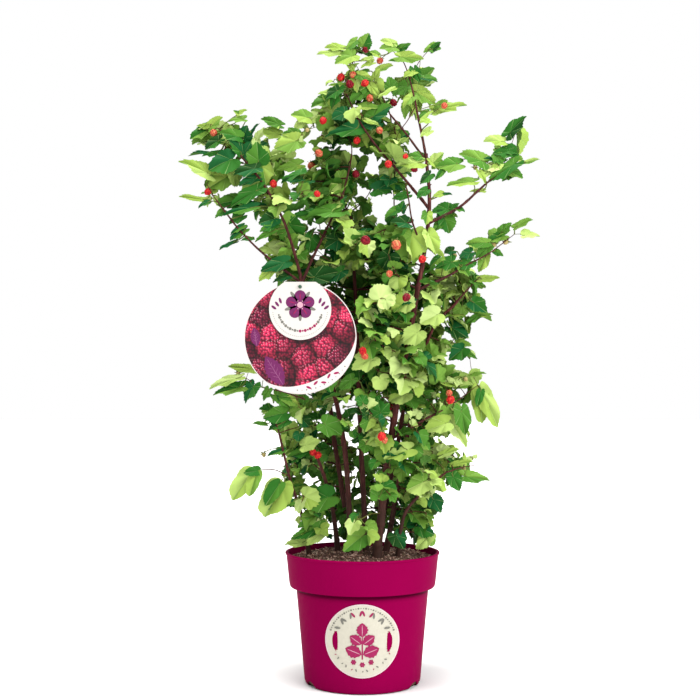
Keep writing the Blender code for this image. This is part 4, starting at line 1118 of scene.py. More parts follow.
    ((290, 503), (268, 509), -102, 7, 3, 1), ((256, 474), (248, 497), -96, 11, (5, 4), 2), ((258, 471), (243, 473), -104, 8, 2, 1),
    ((328, 498), (299, 507), -74, 20, 3, 0), ((303, 527), (313, 518), -62, 8, 3, 0), ((318, 528), (291, 539), -64, 10, 2, 0),
    ((306, 533), (321, 527), -66, 7, 3, 0), ((303, 543), (285, 544), -62, 8, 6, 0), ((320, 534), (307, 545), -68, 11, 6, 0),
    ((362, 537), (343, 551), -106, 17, (4, 3), 0),
    # right, from the foot up
    ((428, 536), (416, 549), -48, 11, 6, 0), ((420, 528), (434, 535), -46, 13, 1, 0), ((396, 536), (404, 549), -60, 14, 1, 0),
    ((433, 500), (441, 513), -54, 13, 1, 0), ((453, 477), (460, 491), -62, 11, 2, 0), ((466, 477), (490, 480), -60, 10, 4, 0),
    ((453, 465), (473, 461), -56, 5, 5, 1), ((443, 455), (459, 449), -58, 6, 5, 0), ((481, 391), (499, 428), -38, 15, (5, 6), 2),
    ((480, 391), (482, 424), -32, 15, (5, 5), 2), ((481, 392), (477, 407), -52, 7, 2, 1), ((446, 424), (425, 431), -86, 16, 6, 0), ((462, 412), (466, 435), -84, 13, 3, 0),
    ((452, 424), (468, 447), -82, 13, 6, 0),
    # in front of the canes
    ((408, 303), (394, 310), -112, 16, 6, 0), ((418, 332), (402, 342), -108, 16, 6, 0), ((371, 358), (352, 368), -118, 17, 6, 0),
    ((406, 394), (389, 400), -112, 14, 6, 0), ((380, 438), (361, 442), -118, 13, 6, 0), ((408, 450), (384, 458), -120, 14, 5, 0),
    ((424, 482), (407, 490), -104, 16, 6, 0),
]
leaf_nodes = {name: node for name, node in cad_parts.items() if name.startswith("leaves_")}
SPACING = 0.0156


def in_sky(point):
    u, v = in_view(point)[0]
    for places, grow in ((SKY, 4.6), (OUTSIDE, 8.0)):
        for across, down, wide, high in places:
            if ((u - across) / (wide + grow)) ** 2 + ((v - down) / (high + grow)) ** 2 < 1:
                return True
    return False


def hides_a_cane(point):
    u, v = in_view(point)[0]
    return point[1] < 0.025 and any(((u - across) / (wide + 5)) ** 2 + ((v - down) / (high + 3)) ** 2 < 1 for across, down, wide, high in CANES_SHOW)


def hides_a_shown_leaf(point):
    """Whether a leaf here would stand in front of one that is told apart."""
    u, v = in_view(point)[0]
    for root_at, tip_at, depth, wide, tone, slim in OUTLINE:
        reach = 0.5 * math.dist(root_at, tip_at) + 5
        if (u - (root_at[0] + tip_at[0]) / 2) ** 2 + (v - (root_at[1] + tip_at[1]) / 2) ** 2 < reach * reach and point[1] < depth / 1000 + 0.014:
            return True
    return False


def near_card(point, reach=0.020):
    return point[1] < -0.082 and math.hypot(point[0] - tag_middle[0], point[2] - tag_middle[2]) < TAG_RADIUS + reach * (0.6 if point[2] > tag_middle[2] else 1.0)


candidates = []
for order, (name, node) in enumerate(sorted(leaf_nodes.items())):
    mesh = node.data
    co = np.zeros(len(mesh.vertices) * 3)
    mesh.vertices.foreach_get("co", co)
    co = co.reshape(-1, 3)
    mesh.calc_loop_triangles()
    tri = np.zeros(len(mesh.loop_triangles) * 3, np.int32)
    mesh.loop_triangles.foreach_get("vertices", tri)
    tri = tri.reshape(-1, 3)
    centre = (co.max(0) + co.min(0)) / 2
    a, b, c = (co[tri[:, k]] - centre for k in range(3))
    volume = np.abs(np.einsum("ij,ij->i", a, np.cross(b, c))) / 6
    count = max(30, int(volume.sum() / SPACING ** 3 * 7))
    pick = rng.choice(len(tri), count, p=volume / volume.sum())
    w = rng.dirichlet((1, 1, 1, 1), count)
    spots = centre + (w[:, :1] * a[pick] + w[:, 1:2] * b[pick] + w[:, 2:3] * c[pick]) * 0.88
    candidates += [(spot, order) for spot in spots]
mass_names = sorted(leaf_nodes)
# Leaves also lie across the limbs, between the masses: across, down, depth, half width, height and depth, mass they belong to
BETWEEN = [
    (402, 368, -92, 36, 26, 14, "leaves_waist"), (438, 370, -12, 38, 28, 50, "leaves_waist"), (428, 404, -44, 26, 16, 40, "leaves_low_right"),
    (408, 294, -92, 26, 34, 12, "leaves_heart_front"), (410, 300, -20, 28, 42, 40, "leaves_right_mid"), (394, 103, -8, 32, 14, 36, "leaves_top_right"),
    (449, 224, -50, 16, 20, 28, "leaves_right_high"), (334, 264, -26, 22, 12, 34, "leaves_neck"), (428, 240, -88, 16, 26, 10, "leaves_centre_front"),
    (366, 120, -30, 30, 14, 20, "leaves_shoulder_right"), (300, 204, -60, 26, 22, 16, "leaves_arm_low"), (246, 172, -56, 26, 26, 14, "leaves_arm_mid"),
    (330, 212, -50, 20, 24, 16, "leaves_neck_high"), (402, 444, -86, 30, 34, 14, "leaves_low_centre"), (400, 152, -56, 22, 14, 14, "leaves_centre_high"),
    (430, 484, -92, 20, 22, 12, "leaves_low_right"), (298, 146, -40, 20, 16, 20, "leaves_arm_low"), 
    (340, 396, -70, 20, 20, 20, "leaves_waist"), (302, 520, -50, 14, 14, 22, "leaves_low_left"),
    # behind, out of the front's sight
    (350, 252, 66, 46, 26, 34, "leaves_back_high"), (392, 244, 56, 30, 22, 30, "leaves_back_high"), (340, 150, 44, 40, 22, 30, "leaves_shoulder_left"),
    (388, 140, 42, 30, 24, 28, "leaves_shoulder_right"), (372, 392, 74, 54, 26, 40, "leaves_heart_back"), (420, 372, 60, 34, 34, 36, "leaves_right_mid"),
    (318, 372, 56, 34, 36, 38, "leaves_behind_tag"), (306, 300, 48, 34, 34, 34, "leaves_behind_tag"), (372, 478, 112, 34, 52, 36, "leaves_back_left"),
    (334, 522, 62, 24, 24, 40, "leaves_back_left"), (402, 520, 70, 24, 24, 40, "leaves_back_right"), (368, 524, 84, 24, 22, 26, "leaves_back_left"),
    (366, 100, 34, 30, 26, 26, "leaves_top_right"), (424, 310, 66, 26, 40, 30, "leaves_right_mid"),
]
for across, down, depth, wide, high, deep, name in BETWEEN:
    reach = EYE_DISTANCE + depth / 1000
    size = np.array((wide / 1000 * reach, deep / 1000, high / 1000 * reach))
    count = int(4.19 * size.prod() / SPACING ** 3 * 7) + 12
    away = unit(rng.normal(0, 1, (count, 3))) * rng.random((count, 1)) ** (1 / 3)
    candidates += [(spot, mass_names.index(name)) for spot in seen(across, down, depth) + away * size]

# masses that are mostly a few large leaves, given further down
SHARE = {
    "leaves_left_drop": 0.0, "leaves_left_leaf": 0.03, "leaves_right_drop": 0.05, "leaves_crown_right": 0.06, "leaves_right_tip": 0.05,
    "leaves_right_arm": 0.10, "leaves_right_high": 0.40, "leaves_top_left": 0.25, "leaves_top_right": 0.50,
}
rng.shuffle(candidates)
cells_taken = {}
targets, target_mass = [], []
for spot, order in candidates:
    if spot[2] < 0.208 or near_card(spot) or in_sky(spot) or hides_a_cane(spot) or hides_a_shown_leaf(spot) or rng.random() > SHARE.get(mass_names[order], 1.0):
        continue
    key = tuple(int(math.floor(c / SPACING)) for c in spot)
    clear = True
    for dx in (-1, 0, 1):
        for dy in (-1, 0, 1):
            for dz in (-1, 0, 1):
                for other in cells_taken.get((key[0] + dx, key[1] + dy, key[2] + dz), ()):
                    if (spot[0] - other[0]) ** 2 + (spot[1] - other[1]) ** 2 + (spot[2] - other[2]) ** 2 < SPACING ** 2:
                        clear = False
                        break
                if not clear:
                    break
            if not clear:
                break
        if not clear:
            break
    if clear:
        cells_taken.setdefault(key, []).append(spot)
        targets.append(spot)
        target_mass.append(order)
targets = np.array(targets)
target_mass = np.array(target_mass)
print("leaf places", len(targets))

# ================================================================ twigs grow from the limbs to the leaves
STEP = 0.0085
REACHED = 0.0180
node_at, node_parent, node_ahead, node_limb = [], [], [], []
for name, (path, radii) in lines.items():
    gap = 9 if name.startswith("leader") else 11
    first = 10 if name in CANES else 4
    for k in range(first, len(path), gap):
        ahead = unit(path[min(k + 1, len(path) - 1)] - path[k - 1])
        node_at.append(path[k])
        node_parent.append(-1)
        node_ahead.append(ahead)
        node_limb.append(radii[k])
    node_at.append(path[-1])
    node_parent.append(-1)
    node_ahead.append(unit(path[-1] - path[-2]))
    node_limb.append(radii[-1])
roots = len(node_at)
node_at = [np.array(p) for p in node_at]
distance = np.full(len(targets), 9.0)
nearest = np.zeros(len(targets), int)


def look(start):
    """Nearest node of every target, now that nodes from start on are there."""
    fresh = np.array(node_at[start:])
    for low in range(0, len(fresh), 512):
        part = fresh[low:low + 512]
        d = np.linalg.norm(targets[:, None, :] - part[None, :, :], axis=2)
        k = d.argmin(1)
        best = d[np.arange(len(targets)), k]
        better = best < distance
        distance[better] = best[better]
        nearest[better] = start + low + k[better]


look(0)
for _ in range(90):
    open_now = np.nonzero(distance > REACHED)[0]
    if not len(open_now):
        break
    start = len(node_at)
    pulls = {}
    for t in open_now:
        pulls.setdefault(int(nearest[t]), []).append(t)
    for n, wants in pulls.items():
        toward = unit(targets[wants] - node_at[n]).sum(0)
        toward = toward / max(1e-9, np.linalg.norm(toward))
        share = 0.45 if node_parent[n] >= 0 else 0.25
        toward = unit(toward + share * node_ahead[n] + np.array((0, 0, 0.10)) + rng.normal(0, 0.10, 3))
        grown = node_at[n] + toward * STEP
        if any(node_parent[k] == n and np.linalg.norm(node_at[k] - grown) < 0.35 * STEP for k in range(start, len(node_at))):
            continue
        if near_card(grown, 0.010) and grown[1] < -0.105:
            grown[1] = -0.103
        node_at.append(grown)
        node_parent.append(n)
        node_ahead.append(toward)
        node_limb.append(node_limb[n])
    if len(node_at) == start:
        break
    look(start)
    # a target that can't be reached by its own nearest node is let go after a while
node_at = np.array(node_at)
node_parent = np.array(node_parent)
print("twig nodes", len(node_at) - roots, "left", int((distance > REACHED * 1.5).sum()))

keep = distance < REACHED * 1.5
targets, target_mass, nearest = targets[keep], target_mass[keep], nearest[keep]

# how many leaves each node carries, from the tips down
load = np.zeros(len(node_at))
for n in nearest:
    load[n] += 1
for n in range(len(node_at) - 1, roots - 1, -1):
    load[node_parent[n]] += load[n]
main_child = np.full(len(node_at), -1)
for n in range(roots, len(node_at)):
    p = node_parent[n]
    if load[n] > 0 and (main_child[p] < 0 or load[n] > load[main_child[p]]):
        main_child[p] = n
for _ in range(2):
    moved = node_at.copy()
    for n in range(roots, len(node_at)):
        if main_child[n] >= 0:
            moved[n] = 0.5 * node_at[n] + 0.25 * node_at[node_parent[n]] + 0.25 * node_at[main_child[n]]
    node_at = moved
node_size = np.minimum(0.00042 * np.maximum(load, 1) ** 0.40, np.minimum(0.0015, np.array(node_limb) * 0.8))
spray = np.arange(len(node_at))
for n in range(roots, len(node_at)):
    p = node_parent[n]
    spray[n] = spray[p] if load[p] < 14 and p >= roots else n

twig_pile = Pile()
for n in range(roots, len(node_at)):
    p = node_parent[n]
    if load[n] == 0 or (p >= roots and main_child[p] == n):
        continue
    chain = [p, n]
    while main_child[chain[-1]] >= 0:
        chain.append(main_child[chain[-1]])
    sizes = np.array([node_size[n] * 1.05] + [node_size[k] for k in chain[1:]])
    path = smooth_path([node_at[k] for k in chain], 0.0045)
    sizes = np.interp(np.linspace(0, 1, len(path)), np.linspace(0, 1, len(sizes)), sizes)
    bumps = 1 + 0.16 * (np.arange(len(path)) % 4 == 0)
    pts, faces = tube(path, sizes * bumps, 6)
    twig_pile.add(pts, faces, 0 if sizes[0] > 0.00085 else (1 if rng.random() < 0.45 else 2))


# ================================================================ leaves
def leaf_template(lobes, deep, teeth, rings, skew, seed, fine=False):
    """A lobed, toothed leaf round its stalk: flat places, faces and what each is for."""
    r = random.Random(seed)
    deg = math.radians
    if fine:
        more = 2
    else:
        more = 0
    if lobes == 5:
        keys = [(0, 1.0), (31, 0.82 - deep), (53, 0.86), (81, 0.69 - deep * 0.7), (106, 0.67), (140, 0.46), (167, 0.21), (180, 0.07)]
        counts = [4 + more, 2 + more, 3 + more, 2 + more, 2 + more, 1 + more, 1]
    elif lobes == 3:
        keys = [(0, 1.0), (34, 0.79 - deep), (58, 0.80), (92, 0.69), (120, 0.57), (148, 0.38), (168, 0.18), (180, 0.06)]
        counts = [3 + more, 2 + more, 3 + more, 2 + more, 1 + more, 1, 1]
    else:
        keys = [(0, 1.0), (14, 0.86), (30, 0.66), (55, 0.50), (88, 0.40), (130, 0.30), (165, 0.15), (180, 0.06)]
        counts = [4, 4, 5, 5, 4, 2, 1]
    tips = {0, 2, 4} if lobes == 5 else ({0, 2} if lobes == 3 else {0})
    vein = deg(1.15)
    halves = []
    veins = []
    for side in (1, -1):
        half = []
        jig = [(a + r.uniform(-3, 3) * (0 < k < 7), q * (1 + (r.uniform(-0.07, 0.07) if k else 0)) * (1 + side * skew * (0 < k < 6))) for k, (a, q) in enumerate(keys)]
        number = 0
        for k, count in enumerate(counts):
            (a0, r0), (a1, r1) = jig[k], jig[k + 1]
            if k in tips:
                if k == 0:
                    half.append((vein, r0, True))
                else:
                    half.append((deg(a0) - vein, r0, False))
                    half.append((deg(a0) + vein, r0, True))
                    veins.append(side * deg(a0))
            elif k:
                half.append((deg(a0), r0, False))
            for j in range(1, count):
                t = j / count
                falling = r1 < r0
                q = r0 + (r1 - r0) * (t ** 1.30 if falling else 1 - (1 - t) ** 1.30)
                number += 1
                edge = (-0.062 if j % 2 == 0 else 0.056) * teeth * (1 if k < 5 else 0.5) * (0.62 if fine else 1)
                shift = -0.30 / count if j % 2 == 1 else 0.0
                shift = shift if falling else -shift
                half.append((deg(a0 + (a1 - a0) * (t + shift)), q * (1 + edge + r.uniform(-0.012, 0.012)), False))
        halves.append(half)
    right, left = halves
    angles = [a for a, q, m in right] + [math.pi] + [-a for a, q, m in reversed(left)]
    radii = [q for a, q, m in right] + [0.06] + [q for a, q, m in reversed(left)]
    angles, radii = np.array(angles), np.array(radii)
    n = len(angles)
    veins = sorted([0.0, *veins])
    # folds: 0 on a vein, 1 halfway between two
    ends = [veins[0] - deg(46), *veins, veins[-1] + deg(46)]
    fold = np.zeros(n)
    for i, a in enumerate(angles):
        for low, high in zip(ends, ends[1:]):
            if low <= a <= high:
                fold[i] = math.sin(math.pi * (a - low) / (high - low))
    share = np.repeat(np.array(rings), n)
    m = len(rings)
    theta = np.tile(angles, m)
    reach = np.tile(radii, m) * share
    if lobes > 1:                      # the inner rings are rounder than the outline
        round_to = np.tile(np.convolve(np.concatenate([radii[-3:], radii, radii[:3]]), np.ones(7) / 7, "valid"), m)
        blend = (1 - share) * 0.7
        reach = (np.tile(radii, m) * (1 - blend) + round_to * blend) * share
    x, y = reach * np.sin(theta), reach * np.cos(theta)
    folds = np.tile(fold, m)
    k = np.arange(n)
    nxt = (k + 1) % n
    is_vein = np.zeros(n, bool)
    for v in veins:
        # the face from just before a vein to just after it
        before = [i for i in range(n) if abs(angles[i] - (v - vein)) < 1e-6]
        for i in before:
            is_vein[i] = True
    for i in range(n):
        if angles[i] < 0 and angles[nxt[i]] > 0 and abs(angles[i] + vein) < 1e-6:
            is_vein[i] = True
    # outline order runs clockwise from the tip, so faces are turned to look up
    centre = m * n
    fan = np.stack([np.full(n, centre), nxt, k], 1)
    bands, band_col = [fan], [k]
    for b in range(m - 1):
        lo, hi = b * n, (b + 1) * n
        bands += [np.stack([lo + k, lo + nxt, hi + nxt], 1), np.stack([lo + k, hi + nxt, hi + k], 1)]
        band_col += [k, k]
    top = np.concatenate(bands)
    cols = np.concatenate(band_col)
    # the underside shares the outline
    inner = (m - 1) * n
    total_top = m * n + 1
    remap = np.arange(total_top)
    remap[:inner] = total_top + np.arange(inner)
    remap[centre] = total_top + inner
    under = remap[top][:, ::-1]
    xs = np.concatenate([x, [0.0], x[:inner], [0.0]])
    ys = np.concatenate([y, [0.0], y[:inner], [0.0]])
    sh = np.concatenate([share, [0.0], share[:inner], [0.0]])
    fo = np.concatenate([folds, [0.0], folds[:inner], [0.0]])
    th = np.concatenate([theta, [0.0], theta[:inner], [0.0]])
    below = np.concatenate([np.zeros(total_top), np.ones(inner + 1)])
    top_vein = is_vein[cols]
    top_right = np.sin((angles[cols] + angles[nxt[cols]]) / 2) > 0
    return dict(x=xs, y=ys, share=sh, fold=fo, theta=th, below=below, top=top, under=under, vein=top_vein, right=top_right, left=~top_right)


def turned_up(template):
    """Makes sure the top faces look along +Z."""
    f = template["top"]
    p = np.stack([template["x"], template["y"]], 1)
    a, b, c = p[f[:, 0]], p[f[:, 1]], p[f[:, 2]]
    area = (b[:, 0] - a[:, 0]) * (c[:, 1] - a[:, 1]) - (c[:, 0] - a[:, 0]) * (b[:, 1] - a[:, 1])
    if area.sum() < 0:
        template["top"] = f[:, ::-1]
        template["under"] = template["under"][:, ::-1]
    return template


TEMPLATES, BIG = [], []
for k, (lobes, deep, teeth, skew) in enumerate([
    (5, -0.02, 1.0, 0.03), (5, 0.05, 1.2, -0.04), (5, 0.08, 1.1, 0.02), (3, -0.04, 1.2, -0.03), (3, 0.05, 1.3, 0.04),
    (3, 0.09, 1.1, -0.02), (5, 0.01, 1.3, -0.05), (3, 0.01, 1.0, 0.05), (5, 0.03, 1.0, 0.05), (3, 0.06, 1.3, 0.0),
]):
    TEMPLATES.append(turned_up(leaf_template(lobes, deep, teeth, (0.56, 1.0), skew, k)))
    BIG.append(turned_up(leaf_template(lobes, deep, teeth, (0.36, 0.70, 1.0), skew, k, True)))
SLIM = [turned_up(leaf_template(1, 0, 1.1, (0.56, 1.0), 0.0, 40 + k)) for k in range(3)]
PLAIN = [turned_up(leaf_template(1, 0, 0.35, (0.36, 0.70, 1.0), 0.02, 60 + k)) for k in range(3)]


def leaf(pile, template, base, ahead, up, length, tone, bend=0.6, fold=0.2, painted_half_shade=0, narrow=1.0, ruffle=0.04, cup=0.12, halves=1):
    """One leaf from its stalk's end, its tip ahead, its face up."""
    x, y, share = template["x"] * narrow, template["y"], template["share"]
    z = 0.15 * template["fold"] * np.hypot(x, y)
    z = z + fold * np.abs(x) - cup * (x * x + y * y)
    z = z + ruffle * share ** 2 * np.sin(template["theta"] * rng.integers(3, 6) + rng.uniform(0, 6.28))
    z = z - template["below"] * 0.022
    k = max(abs(bend), 1e-3) * (1 if bend >= 0 else -1)
    a = k * y
    y2 = np.sin(a) / k + z * np.sin(a)
    z2 = -(1 - np.cos(a)) / k + z * np.cos(a)
    twist = rng.normal(0, 0.22)
    ct, st = np.cos(twist * y), np.sin(twist * y)
    x, z2 = x * ct - z2 * st * 0.5, z2 + x * st
    up = up - ahead * np.dot(up, ahead)
    up = up / max(1e-9, np.linalg.norm(up))
    side = np.cross(ahead, up)
    points = base + length * (x[:, None] * side + y2[:, None] * ahead + z2[:, None] * up)
    tones = np.full(len(template["top"]), tone)
    # painted light and shade: one half of the blade a few tones lighter or darker than the other, as a sunlit half and
    # a shaded half
    if painted_half_shade:
        tones[template["right" if halves > 0 else "left"]] = int(np.clip(tone + painted_half_shade, 0, TONES - 1))
    tones[template["vein"]] = VEIN_SLOT + tone // 2
    pile.add(points, template["top"], tones)
    pile.add(np.zeros((0, 3)), template["under"] - len(points), UNDER_SLOT + tone // 2)
    return points


def stalk(start, end, arrive, size, slot):
    """A leaf stalk that leaves the twig and arrives along the leaf."""
    reach = np.linalg.norm(end - start)
    middle = end - arrive * reach * 0.5
    t = np.linspace(0, 1, 4)[:, None]
    path = (1 - t) ** 2 * start + 2 * t * (1 - t) * middle + t ** 2 * end
    pts, faces = tube(path, [size * 1.25, size, size, size * 0.9], 4)
    stalk_pile.add(pts, faces, slot)


stalk_pile = Pile()
PIECES = ("top", "upper", "middle", "lower", "low")
leaf_piles = [Pile() for _ in PIECES]
crown_middle = lambda z: np.array((0.0, 0.0, z))


def tone_and_painted_shade_at(point, own):
    """Paler and yellower at the top and outside, partly young growth and partly painted light; painted shade makes it
    darkest inside and behind; painted light in two patches of the front view, a little paler toward the right and a
    touch darker low down.
    """
    u, v = in_view(point)[0]
    t = 3.75
    t += 2.5 * float(np.clip((165 - v) / 70, 0, 1))
    t += 0.3 * float(np.clip((u - 425) / 30, 0, 1))
    out = math.hypot(point[0], point[1])
    t += 1.1 * float(np.clip((out - 0.075) / 0.06, -1, 1))
    t -= 0.05 * float(np.clip((v - 370) / 50, 0, 1))
    t += 0.6 * math.exp(-((u - 385) / 40) ** 2 - ((v - 230) / 60) ** 2)
    t += 0.2 * math.exp(-((u - 322) / 40) ** 2 - ((v - 250) / 55) ** 2)
    t -= 0.6 * float(np.clip((point[1] - 0.01) / 0.05, 0, 1)) * (1 if out < 0.09 else 0.3)
    return t + own


spray_tone = {}
order_of = {name: k for k, name in enumerate(mass_names)}
leaf_record = []
leaf_mid = []
mass_load = np.bincount(target_mass, minlength=len(mass_names))
heights = np.array([float(np.mean(targets[target_mass == k][:, 2])) if (target_mass == k).any() else 0.5 for k in range(len(mass_names))])
by_height = np.argsort(-heights)
piece_of = np.zeros(len(mass_names), int)
running = 0
for k in by_height:
    piece_of[k] = min(len(PIECES) - 1, int(running / (len(targets) / len(PIECES))))
    running += mass_load[k]

for i in range(len(targets)):
    n = int(nearest[i])
    spot = targets[i]
    start = node_at[n]
    d = spot - start
    reach = np.linalg.norm(d)
    outward = unit(np.array((spot[0], spot[1], 0.0)) + 1e-6)
    shoot = unit(d if reach > 1e-4 else outward)
    if in_view(spot)[0][1] > 430:
        droop = rng.normal(0.22, 0.28)
    else:
        droop = rng.normal(0.16, 0.30)
    ahead = unit(0.75 * shoot + 0.35 * outward + rng.normal(0, 0.30, 3) - np.array((0, 0, droop)))
    size = float(np.clip(rng.lognormal(math.log(0.0196), 0.25), 0.0110, 0.0310))
    if in_view(spot)[0][1] > 390:
        size *= 0.84
    at_tip = main_child[n] < 0
    if at_tip and rng.random() < 0.25:
        size *= 0.62
    base = spot - ahead * size * 0.34
    lift = float(np.clip((spot[2] - 0.50) / 0.30, 0, 1))
    face = np.array((0, 0, 1.0)) * (rng.uniform(0.62, 1.05) + 0.25 * lift) + outward * rng.uniform(0.15, 0.70) * (1 - 0.35 * lift)
    face = face + np.array((0, -0.26, 0)) + rng.normal(0, 0.30, 3)
    key = int(spray[n])
    if key not in spray_tone:
        spray_tone[key] = rng.normal(0, 0.75)
    # leaf tone with painted light and shade by where the leaf sits in the crown
    tone = int(np.clip(round(tone_and_painted_shade_at(spot, spray_tone[key] + rng.normal(0, 1.9))), 0, TONES - 1))
    kind = int(rng.integers(0, len(TEMPLATES)))
    shape = BIG[kind] if size > 0.0265 else TEMPLATES[kind]
    # painted light and shade on the two halves of some leaves
    painted_half_shade = int(rng.choice([-2, -1, 1, 2])) if rng.random() < 0.45 else 0
    leaf(leaf_piles[piece_of[target_mass[i]]], shape, base, ahead, unit(face), size, tone,
         bend=float(np.clip(rng.normal(0.42, 0.38), -0.3, 1.4)), fold=float(np.clip(rng.normal(0.22, 0.17), -0.1, 0.7)),
         painted_half_shade=painted_half_shade, narrow=float(rng.uniform(0.86, 1.06)), ruffle=float(rng.uniform(0.02, 0.06)), cup=float(rng.normal(0.08, 0.10)))
    stalk(start, base + ahead * size * 0.03, ahead, 0.00050 + 0.00015 * rng.random(), 0 if rng.random() < 0.72 else 1)
    leaf_mid.append(spot)
leaf_mid = np.array(leaf_mid)

for k, (root_at, tip_at, depth, wide, tone, slim) in enumerate(OUTLINE):
    ways = [(float(np.linalg.norm(node_at - seen(*root_at, depth + shift), axis=1).min()) + abs(shift) * 0.0004, shift) for shift in range(-32, 33, 4)]
    depth += min(ways)[1]
    base = seen(*root_at, depth)
    tip = seen(*tip_at, depth - 5)
    ahead = unit(tip - base)
    length = float(np.linalg.norm(tip - base))
    near = np.linalg.norm(node_at - base, axis=1)
    n = int(near.argmin())
    face = np.array((0, -1.0, 0.5)) + rng.normal(0, 0.14, 3)
    shape = (BIG[k % len(BIG)], SLIM[k % 3], PLAIN[k % 3])[slim]
    natural = length * (1.14, 0.68, 0.68)[slim]
    painted_half_shade, halves = (0, -1, 0, 1, -2, 0)[k % 6], 1
    if isinstance(tone, tuple):        # painted light and shade on the two halves: the tone of the half toward the picture's left, then the other
        painted_half_shade, halves = tone[0] - tone[1], (1 if tip_at[1] > root_at[1] else -1)
        tone = tone[1]
    leaf(leaf_piles[sum(base[2] < level for level in (0.72, 0.60, 0.48, 0.36))], shape, base, ahead, unit(face), length, tone,
         bend=0.25, fold=0.10, painted_half_shade=painted_half_shade, halves=halves, narrow=float(np.clip(wide * 0.0015 / natural, 0.26, 1.40)), ruffle=0.03, cup=0.03)
    stalk(node_at[n], base + ahead * length * 0.03, ahead, 0.00080, 0)

print("leaves", len(leaf_mid) + len(OUTLINE), "triangles", [p.triangles() for p in leaf_piles])

# ================================================================ berries
RIPE = [(0.42, 0.007, 0.010), (0.33, 0.004, 0.008), (0.52, 0.030, 0.016)]
DARK = [(0.170, 0.002, 0.010), (0.120, 0.001, 0.007), (0.230, 0.005, 0.014)]
YOUNG = [(0.44, 0.085, 0.040), (0.38, 0.045, 0.026), (0.47, 0.170, 0.070)]
berry_skin = [plain("berry_%s_%d" % (word, k), c, 0.42, 0.16) for word, row in (("ripe", RIPE), ("dark", DARK), ("young", YOUNG)) for k, c in enumerate(row)]
berry_green = plain("berry_sepal", (0.120, 0.150, 0.040), 0.55, 0.2)
berry_bud = plain("berry_bud", (0.270, 0.215, 0.075), 0.5, 0.2)
BERRY_MATERIALS = [*berry_skin, berry_green, berry_bud]
GREEN_SLOT, BUD_SLOT = 9, 10
berry_pile = Pile()


def bead_shape():
    rows, cols = 3, 6
    pts = []
    for r in range(rows):
        a = (r / rows) * math.pi / 2 * 1.05
        for c in range(cols):
            t = 2 * math.pi * (c + 0.5 * (r % 2)) / cols
            pts.append((math.cos(a) * math.cos(t), math.cos(a) * math.sin(t), math.sin(a)))
    pts.append((0, 0, 1))
    faces = grid_faces(rows, cols).tolist()
    top = len(pts) - 1
    base = (rows - 1) * cols
    faces += [(base + c, base + (c + 1) % cols, top) for c in range(cols)]
    return np.array(pts), np.array(faces)


BEAD, BEAD_FACES = bead_shape()


def frame_of(axis):
    axis = unit(np.asarray(axis, float))
    side = np.cross(axis, (0.3, 0.9, 0.2))
    side = unit(side)
    return side, np.cross(axis, side), axis


def berry(middle, axis, size, row):
    """A raspberry: beads round a pointed dome, with sepals at the stalk end. The axis runs from stalk to tip."""
    sx, sy, sz = frame_of(axis)
    turn = np.stack([sx, sy, sz], 1)
    rings = [(0.16, 6, 0.80), (0.36, 8, 0.97), (0.57, 8, 0.94), (0.76, 6, 0.72), (0.90, 4, 0.42)]
    height = size * 1.06
    # core
    path = [middle + sz * (t - 0.5) * 2 * height * 0.5 for t in (0.06, 0.2, 0.45, 0.7, 0.88, 0.98)]
    pts, faces = tube(path, [size * k * 0.5 for k in (0.55, 0.78, 0.86, 0.74, 0.48, 0.15)], 9)
    berry_pile.add(pts, faces, row * 3 + 1)
    for index, (t, count, wide) in enumerate(rings):
        for c in range(count):
            a = 2 * math.pi * (c + 0.5 * (index % 2)) / count + 0.4 * index
            radial = math.cos(a) * sx + math.sin(a) * sy
            tilt = (t - 0.42) * 1.9
            out = unit(radial * math.cos(tilt) + sz * math.sin(tilt))
            spot = middle + sz * (t - 0.5) * height + radial * size * 0.5 * wide * 0.80
            ux, uy, uz = frame_of(out)
            bead_size = size * 0.5 * (0.36 - 0.06 * (index in (0, 4))) * (1 + rng.normal(0, 0.05))
            pts = spot + bead_size * (BEAD[:, :1] * ux + BEAD[:, 1:2] * uy + BEAD[:, 2:3] * uz * 0.85)
            berry_pile.add(pts, BEAD_FACES, row * 3 + int(rng.choice([0, 0, 1, 2])))
    spot = middle + sz * height * 0.48
    pts = spot + size * 0.17 * (BEAD[:, :1] * sx + BEAD[:, 1:2] * sy + BEAD[:, 2:3] * sz)
    berry_pile.add(pts, BEAD_FACES, row * 3)
    sepals(middle - sz * height * 0.46, sx, sy, sz, size * 0.62, GREEN_SLOT)


def sepals(spot, sx, sy, sz, reach, slot):
    for c in range(5):
        a = 2 * math.pi * c / 5 + 0.3
        radial = math.cos(a) * sx + math.sin(a) * sy
        across = np.cross(sz, radial)
        line = [spot, spot + radial * reach * 0.45 + sz * reach * 0.06, spot + radial * reach - sz * reach * 0.25]
        wide = reach * 0.22
        pts = [line[0] - across * wide * 0.6, line[0] + across * wide * 0.6, line[1] - across * wide, line[1] + across * wide, line[2]]
        pts += [q - sz * 0.0003 for q in pts]
        faces = [(0, 1, 3), (0, 3, 2), (2, 3, 4), (6, 5, 8), (8, 5, 7), (8, 7, 9), (0, 5, 6), (0, 6, 1), (1, 6, 8), (1, 8, 3), (3, 8, 9), (3, 9, 4), (4, 9, 7), (4, 7, 2), (2, 7, 5), (2, 5, 0)]
        berry_pile.add(pts, faces, slot)


def bud(middle, axis, size):
    """A small unripe head in its sepals."""
    sx, sy, sz = frame_of(axis)
    path = [middle + sz * size * t for t in (-0.45, -0.2, 0.15, 0.4, 0.52)]
    pts, faces = tube(path, [size * k for k in (0.24, 0.44, 0.42, 0.24, 0.06)], 8)
    berry_pile.add(pts, faces, BUD_SLOT)
    sepals(middle - sz * size * 0.42, sx, sy, sz, size * 0.9, GREEN_SLOT)


